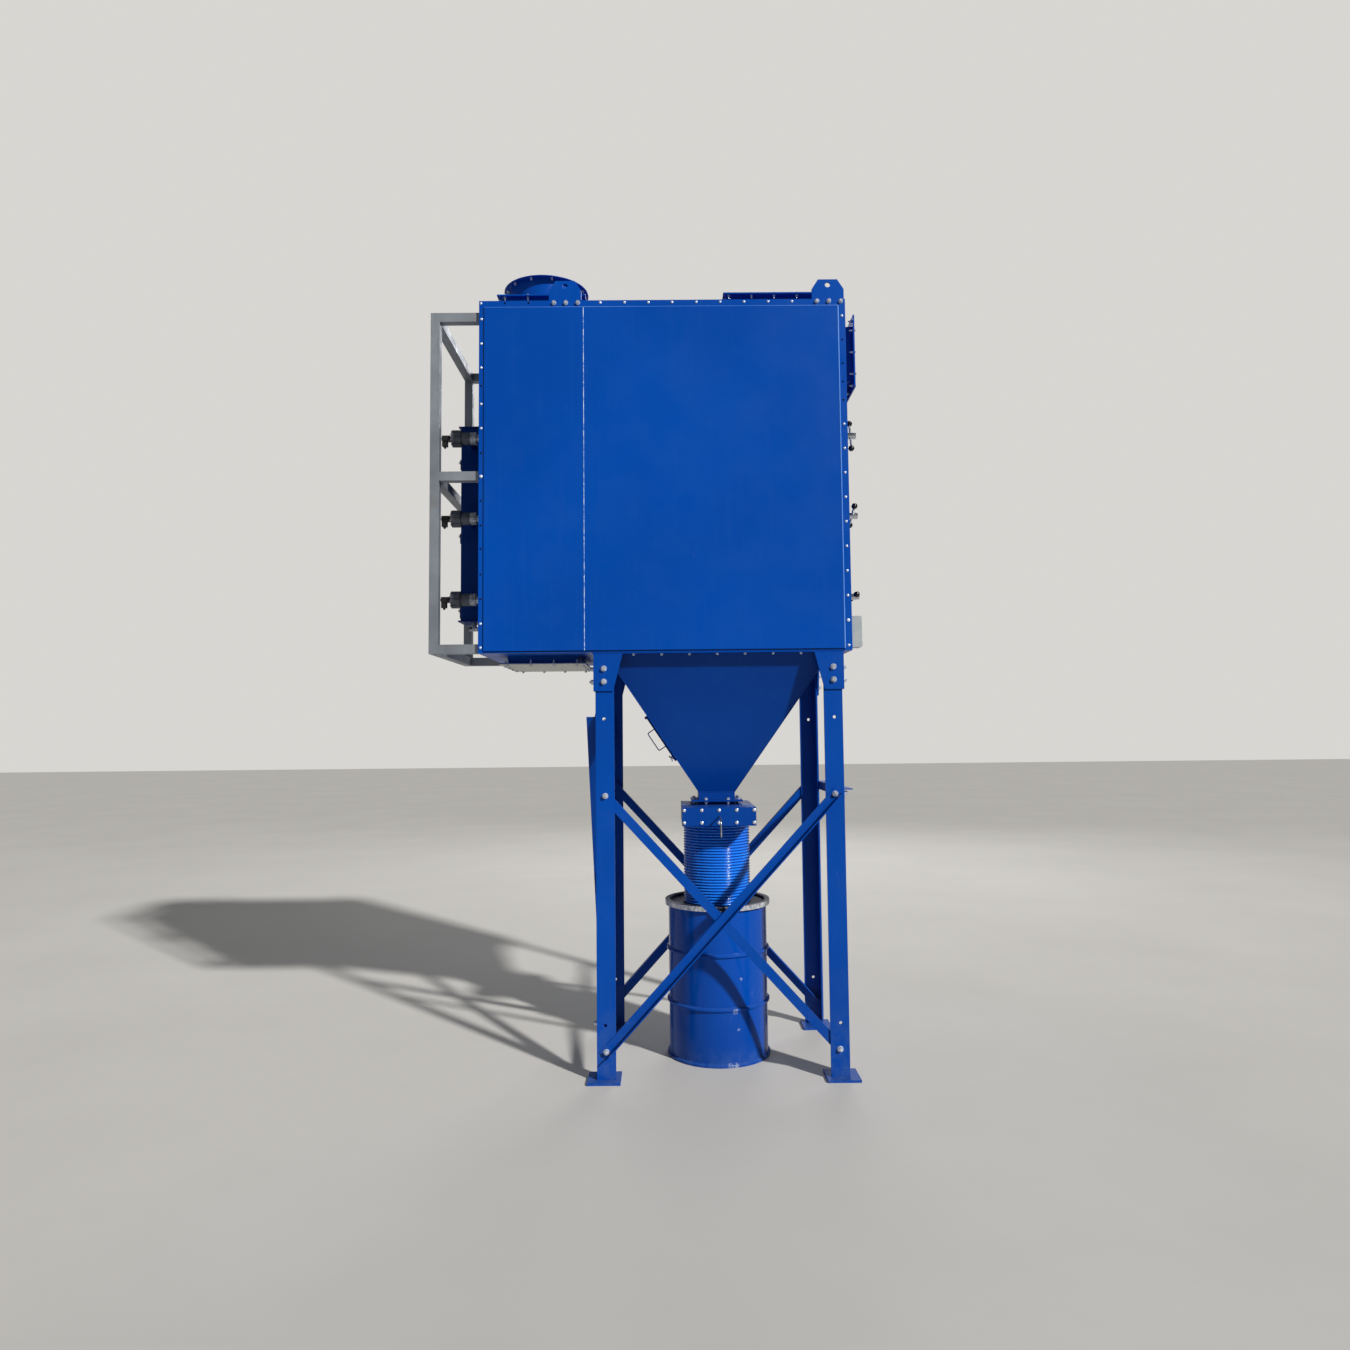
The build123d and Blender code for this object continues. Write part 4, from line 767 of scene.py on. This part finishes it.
# Sealed seam between the panels, pale also as a painted highlight; painted highlights on their folded
# edges; painted shade in the gaps left of them and below
fold_y = PANEL_Y - (PANEL_Y - STRIP_Y) * 0.3
gap_y = STRIP_Y + 0.001
gap_x = PANEL_LEFT - 0.003
gap_z = PANEL_LOW.z - 0.004
seams = bmesh.new()
edges = bmesh.new()
gaps = bmesh.new()
for side in (-1, 1):
    seam = (SEAM_X, side * PANEL_Y)
    fold = (PANEL_RIGHT, side * fold_y)
    gap = (gap_x, side * gap_y)
    rod(seams, (*seam, PANEL_LOW.z), (*seam, PANEL_HIGH.z), SEAM_BEAD)
    rod(edges, (*fold, PANEL_LOW.z), (*fold, PANEL_HIGH.z), SIDE_EDGE)
    rod(edges, (PANEL_LEFT, side * fold_y, PANEL_HIGH.z), (*fold, PANEL_HIGH.z), TOP_EDGE)
    rod(gaps, (*gap, PANEL_LOW.z), (*gap, PANEL_HIGH.z), SIDE_GAP)
    rod(gaps, (PANEL_LEFT, side * gap_y, gap_z), (PANEL_RIGHT, side * gap_y, gap_z), LOW_GAP)
make_piece("panel_seam_beads", seams, seam_bead_and_highlight)
make_piece("panel_edge_highlights", edges, edge_highlight_paint)
make_piece("panel_gap_shade", gaps, painted_shade)

# Weld beads round both ends of the hopper's neck and up its corners
CORNERS = ((-1, -1), (1, -1), (1, 1), (-1, 1))
neck_corners = [(x * HOPPER_LOW_HALF, y * HOPPER_LOW_HALF) for x, y in CORNERS]
welds = bmesh.new()
for level in (HOPPER_LOW_Z, HOPPER_LOW_Z - NECK_HEIGHT + 0.002):
    for start, end in zip(neck_corners, neck_corners[1:] + neck_corners[:1]):
        rod(welds, (*start, level), (*end, level), WELD_BEAD, 8)
for (x, y), start in zip(CORNERS, neck_corners):
    end = (x * HOPPER_TOP_HALF_X, y * HOPPER_TOP_HALF_Y, HOPPER_TOP_Z - 0.001)
    rod(welds, (*start, HOPPER_LOW_Z), end, WELD_BEAD, 8)
make_piece("hopper_weld_beads", welds, hopper_shaded_paint)

# Ribbed hose, in place of the plainer one of the frame
STEPS_PER_RIB = 8
hose_low, hose_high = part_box("flexible_hose")
hose_length = hose_high.z - hose_low.z
hose_steps = round(hose_length / HOSE_PITCH) * STEPS_PER_RIB
hose_inside = HOSE_RADIUS - HOSE_WALL
rings = [(hose_inside, hose_low.z)]
for i in range(hose_steps + 1):
    wave = 0.5 - 0.5 * math.cos(2 * math.pi * i / STEPS_PER_RIB)
    height = hose_low.z + hose_length * i / hose_steps
    rings.append((HOSE_RADIUS + HOSE_RIB * wave ** 0.7, height))
rings.append((hose_inside, hose_high.z))
shape = bmesh.new()
lathe(shape, rings + rings[:1], 96, Matrix.Identity(4), close_start=False, close_end=False)
hose = make_piece("ribbed_hose", shape, hose_blue, ROOT, angle=70)
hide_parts("flexible_hose")

# Two wing nuts that hold the hatch shut, on the left slope of the hopper
run = HOPPER_TOP_HALF_X - HOPPER_LOW_HALF
slope = Vector((run, 0, HOPPER_LOW_Z - HOPPER_TOP_Z)).normalized()
slope_out = Vector((slope.z, 0, -slope.x))
share = (HATCH_Z - HOPPER_LOW_Z) / (HOPPER_TOP_Z - HOPPER_LOW_Z)
hatch_centre = Vector((-(HOPPER_LOW_HALF + share * run), 0, HATCH_Z))
door_face = hatch_centre + slope_out * HATCH_STACK
shape = bmesh.new()
for side in (-1, 1):
    foot = door_face + slope * WING_NUT_DOWN + Vector((0, side * WING_NUT_SIDE, 0))
    lathe(shape, WING_NUT, 16, Matrix.Translation(foot) @ turned(slope_out))
    for way in (-1, 1):
        wing = slope * (way * 0.018) + slope_out * 0.016
        rod(shape, foot + slope_out * 0.008, foot + wing, WING_RADIUS, 8)
make_piece("hatch_wing_nuts", shape, zinc, "hatch")

# Screws of the valve bonnets, and the nut and cable gland of each coil
bonnet_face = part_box("pulse_valves")[0].x + COIL_STEM
coil_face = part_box("valve_coils")[0].x
valve_places = [(side * VALVE_Y, row.z) for row in hub_places[::2] for side in (-1, 1)]
heads = bmesh.new()
glands = bmesh.new()
for y, z in valve_places:
    for i in range(8):
        turn = math.radians(22.5 + 45 * i)
        at = (bonnet_face, y + BONNET_CIRCLE * math.cos(turn), z + BONNET_CIRCLE * math.sin(turn))
        hex_bolt(heads, Vector(at), (-1, 0, 0), BONNET_BOLT)
    hex_bolt(heads, Vector((coil_face, y, z)), (-1, 0, 0), COIL_NUT)
    matrix = Matrix.Translation((coil_face + PLUG_DEPTH, y, z - PLUG_LOW)) @ turned((0, 0, -1))
    lathe(glands, ((0.0085, 0.0), (0.0085, 0.003)), 6, matrix)
    lathe(glands, ((0.0065, 0.003), (0.0065, 0.009), (0.0045, 0.011)), 14, matrix, close_start=False)
make_piece("valve_screws", heads, zinc, ROOT, angle=30)
make_piece("coil_cable_glands", glands, coil_black, ROOT)

# Lever of the header drain
drain_low, drain_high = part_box("header_drain")
lever_x = (drain_low.x + drain_high.x) / 2
lever_z = drain_low.z + LEVER_HEIGHT
lever_start = (lever_x - 0.004, LEVER_Y, lever_z)
lever_end = (lever_x + LEVER_LENGTH, LEVER_Y, lever_z - 0.002)
shape = bmesh.new()
rod(shape, (lever_x, LEVER_Y + 0.008, lever_z), (lever_x, LEVER_Y - 0.004, lever_z), 0.005)
rod(shape, lever_start, lever_end, LEVER_RADIUS)
make_piece("drain_lever", shape, zinc, ROOT)

# Lid of the control box, with rounded corners and a screw in each
box_low, box_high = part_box("control_box")
centre_y = (box_low.y + box_high.y) / 2
centre_z = (box_low.z + box_high.z) / 2
half_y = (box_high.y - box_low.y) / 2 - LID_EDGE
half_z = (box_high.z - box_low.z) / 2 - LID_EDGE
outline = []
for way_y, way_z in ((1, 1), (-1, 1), (-1, -1), (1, -1)):
    for i in range(5):
        turn = math.atan2(way_z, way_y) - math.pi / 4 + math.radians(22.5 * i)
        outline.append((
            centre_y + way_y * (half_y - LID_CORNER) + LID_CORNER * math.cos(turn),
            centre_z + way_z * (half_z - LID_CORNER) + LID_CORNER * math.sin(turn),
        ))
shape = bmesh.new()
loops = []
for depth, inset in LID_STEPS:
    loops.append([
        shape.verts.new((
            box_high.x + depth,
            y + (centre_y - y) * inset / half_y,
            z + (centre_z - z) * inset / half_z,
        ))
        for y, z in outline
    ])
skin(shape, loops)
make_piece("control_box_lid", shape, box_grey, ROOT)
screw_y = half_y - LID_SCREW_INSET
screw_z = half_z - LID_SCREW_INSET
lid_face = box_high.x + LID_STEPS[-1][0]
lid_places = [(lid_face, centre_y + y * screw_y, centre_z + z * screw_z) for y, z in CORNERS]
screws("control_box_screws", lid_places, (1, 0, 0), BOX_SCREW)

# Plain pale floor and backdrop
floor_mesh = bpy.data.meshes.new("floor")
floor_mesh.from_pydata([(-40, -30, 0), (40, -30, 0), (40, 50, 0), (-40, 50, 0)], [], [(0, 1, 2, 3)])
floor = bpy.data.objects.new("floor", floor_mesh)
bpy.context.scene.collection.objects.link(floor)
paving = Shader("floor_look", 0.9, specular=0.2)
paving.colour(paving.over(
    srgb(204, 202, 198), srgb(198, 196, 192), paving.noise(0.6, 5.0, 0.6), 0.3, 0.7,
))
floor_mesh.materials.append(paving.material)

world = bpy.data.worlds.new("studio")
bpy.context.scene.world = world
world.use_nodes = True
tree = world.node_tree
tree.nodes.clear()
output = tree.nodes.new("ShaderNodeOutputWorld")
rays = tree.nodes.new("ShaderNodeLightPath")
light_sky = tree.nodes.new("ShaderNodeBackground")
seen_sky = tree.nodes.new("ShaderNodeBackground")
mixer = tree.nodes.new("ShaderNodeMixShader")
light_sky.inputs["Color"].default_value = (*DAYLIGHT, 1)
light_sky.inputs["Strength"].default_value = 0.13
seen_sky.inputs["Color"].default_value = srgb(216, 214, 210)
seen_sky.inputs["Strength"].default_value = 1.0
tree.links.new(rays.outputs["Is Camera Ray"], mixer.inputs["Fac"])
tree.links.new(light_sky.outputs[0], mixer.inputs[1])
tree.links.new(seen_sky.outputs[0], mixer.inputs[2])
tree.links.new(mixer.outputs[0], output.inputs["Surface"])


def lamp(name, kind, at, size, power, colour=(1, 1, 1)):
    """Soft lamp aimed at the middle of the machine; a sun's size is the angle that it fills."""
    data = bpy.data.lights.new(name, kind)
    if kind == "SUN":
        data.angle = size
    else:
        data.shape = "DISK"
        data.size = size
    data.energy = power
    data.color = colour
    light = bpy.data.objects.new(name, data)
    bpy.context.scene.collection.objects.link(light)
    light.location = at
    aim = Vector((0.0, 0.0, 2.2)) - Vector(at)
    light.rotation_euler = aim.to_track_quat("-Z", "Y").to_euler()


lamp("key", "SUN", (8.4, -8.9, 10.1), math.radians(3), 3.75, SUNLIGHT)
lamp("fill", "AREA", (-8.0, -7.0, 6.0), 6.0, 35, DAYLIGHT)
lamp("back", "AREA", (2.0, 10.0, 8.0), 5.0, 360)

# Camera fitted to the photograph, with its angles in radians
CAMERA_AT = (-0.277, -5.5783, 1.8426)
YAW = 0.0074
PITCH_UP = 0.0637
ROLL = -0.0099
FOCAL_PIXELS = 934.106
PHOTO_WIDTH = 1350
SENSOR_WIDTH = 36.0
flat = math.cos(PITCH_UP)
forward = Vector((math.sin(YAW) * flat, math.cos(YAW) * flat, math.sin(PITCH_UP)))
right = forward.cross(Vector((0, 0, 1))).normalized()
above = right.cross(forward)
camera_right = math.cos(ROLL) * right + math.sin(ROLL) * above
camera_up = -math.sin(ROLL) * right + math.cos(ROLL) * above
camera_data = bpy.data.cameras.new("camera")
camera_data.sensor_width = SENSOR_WIDTH
camera_data.lens = FOCAL_PIXELS / PHOTO_WIDTH * SENSOR_WIDTH
camera = bpy.data.objects.new("camera", camera_data)
bpy.context.scene.collection.objects.link(camera)
rotation = Matrix((camera_right, camera_up, -forward)).transposed()
camera.matrix_world = Matrix.Translation(CAMERA_AT) @ rotation.to_4x4()
bpy.context.scene.camera = camera
bpy.context.scene.view_settings.view_transform = "Standard"
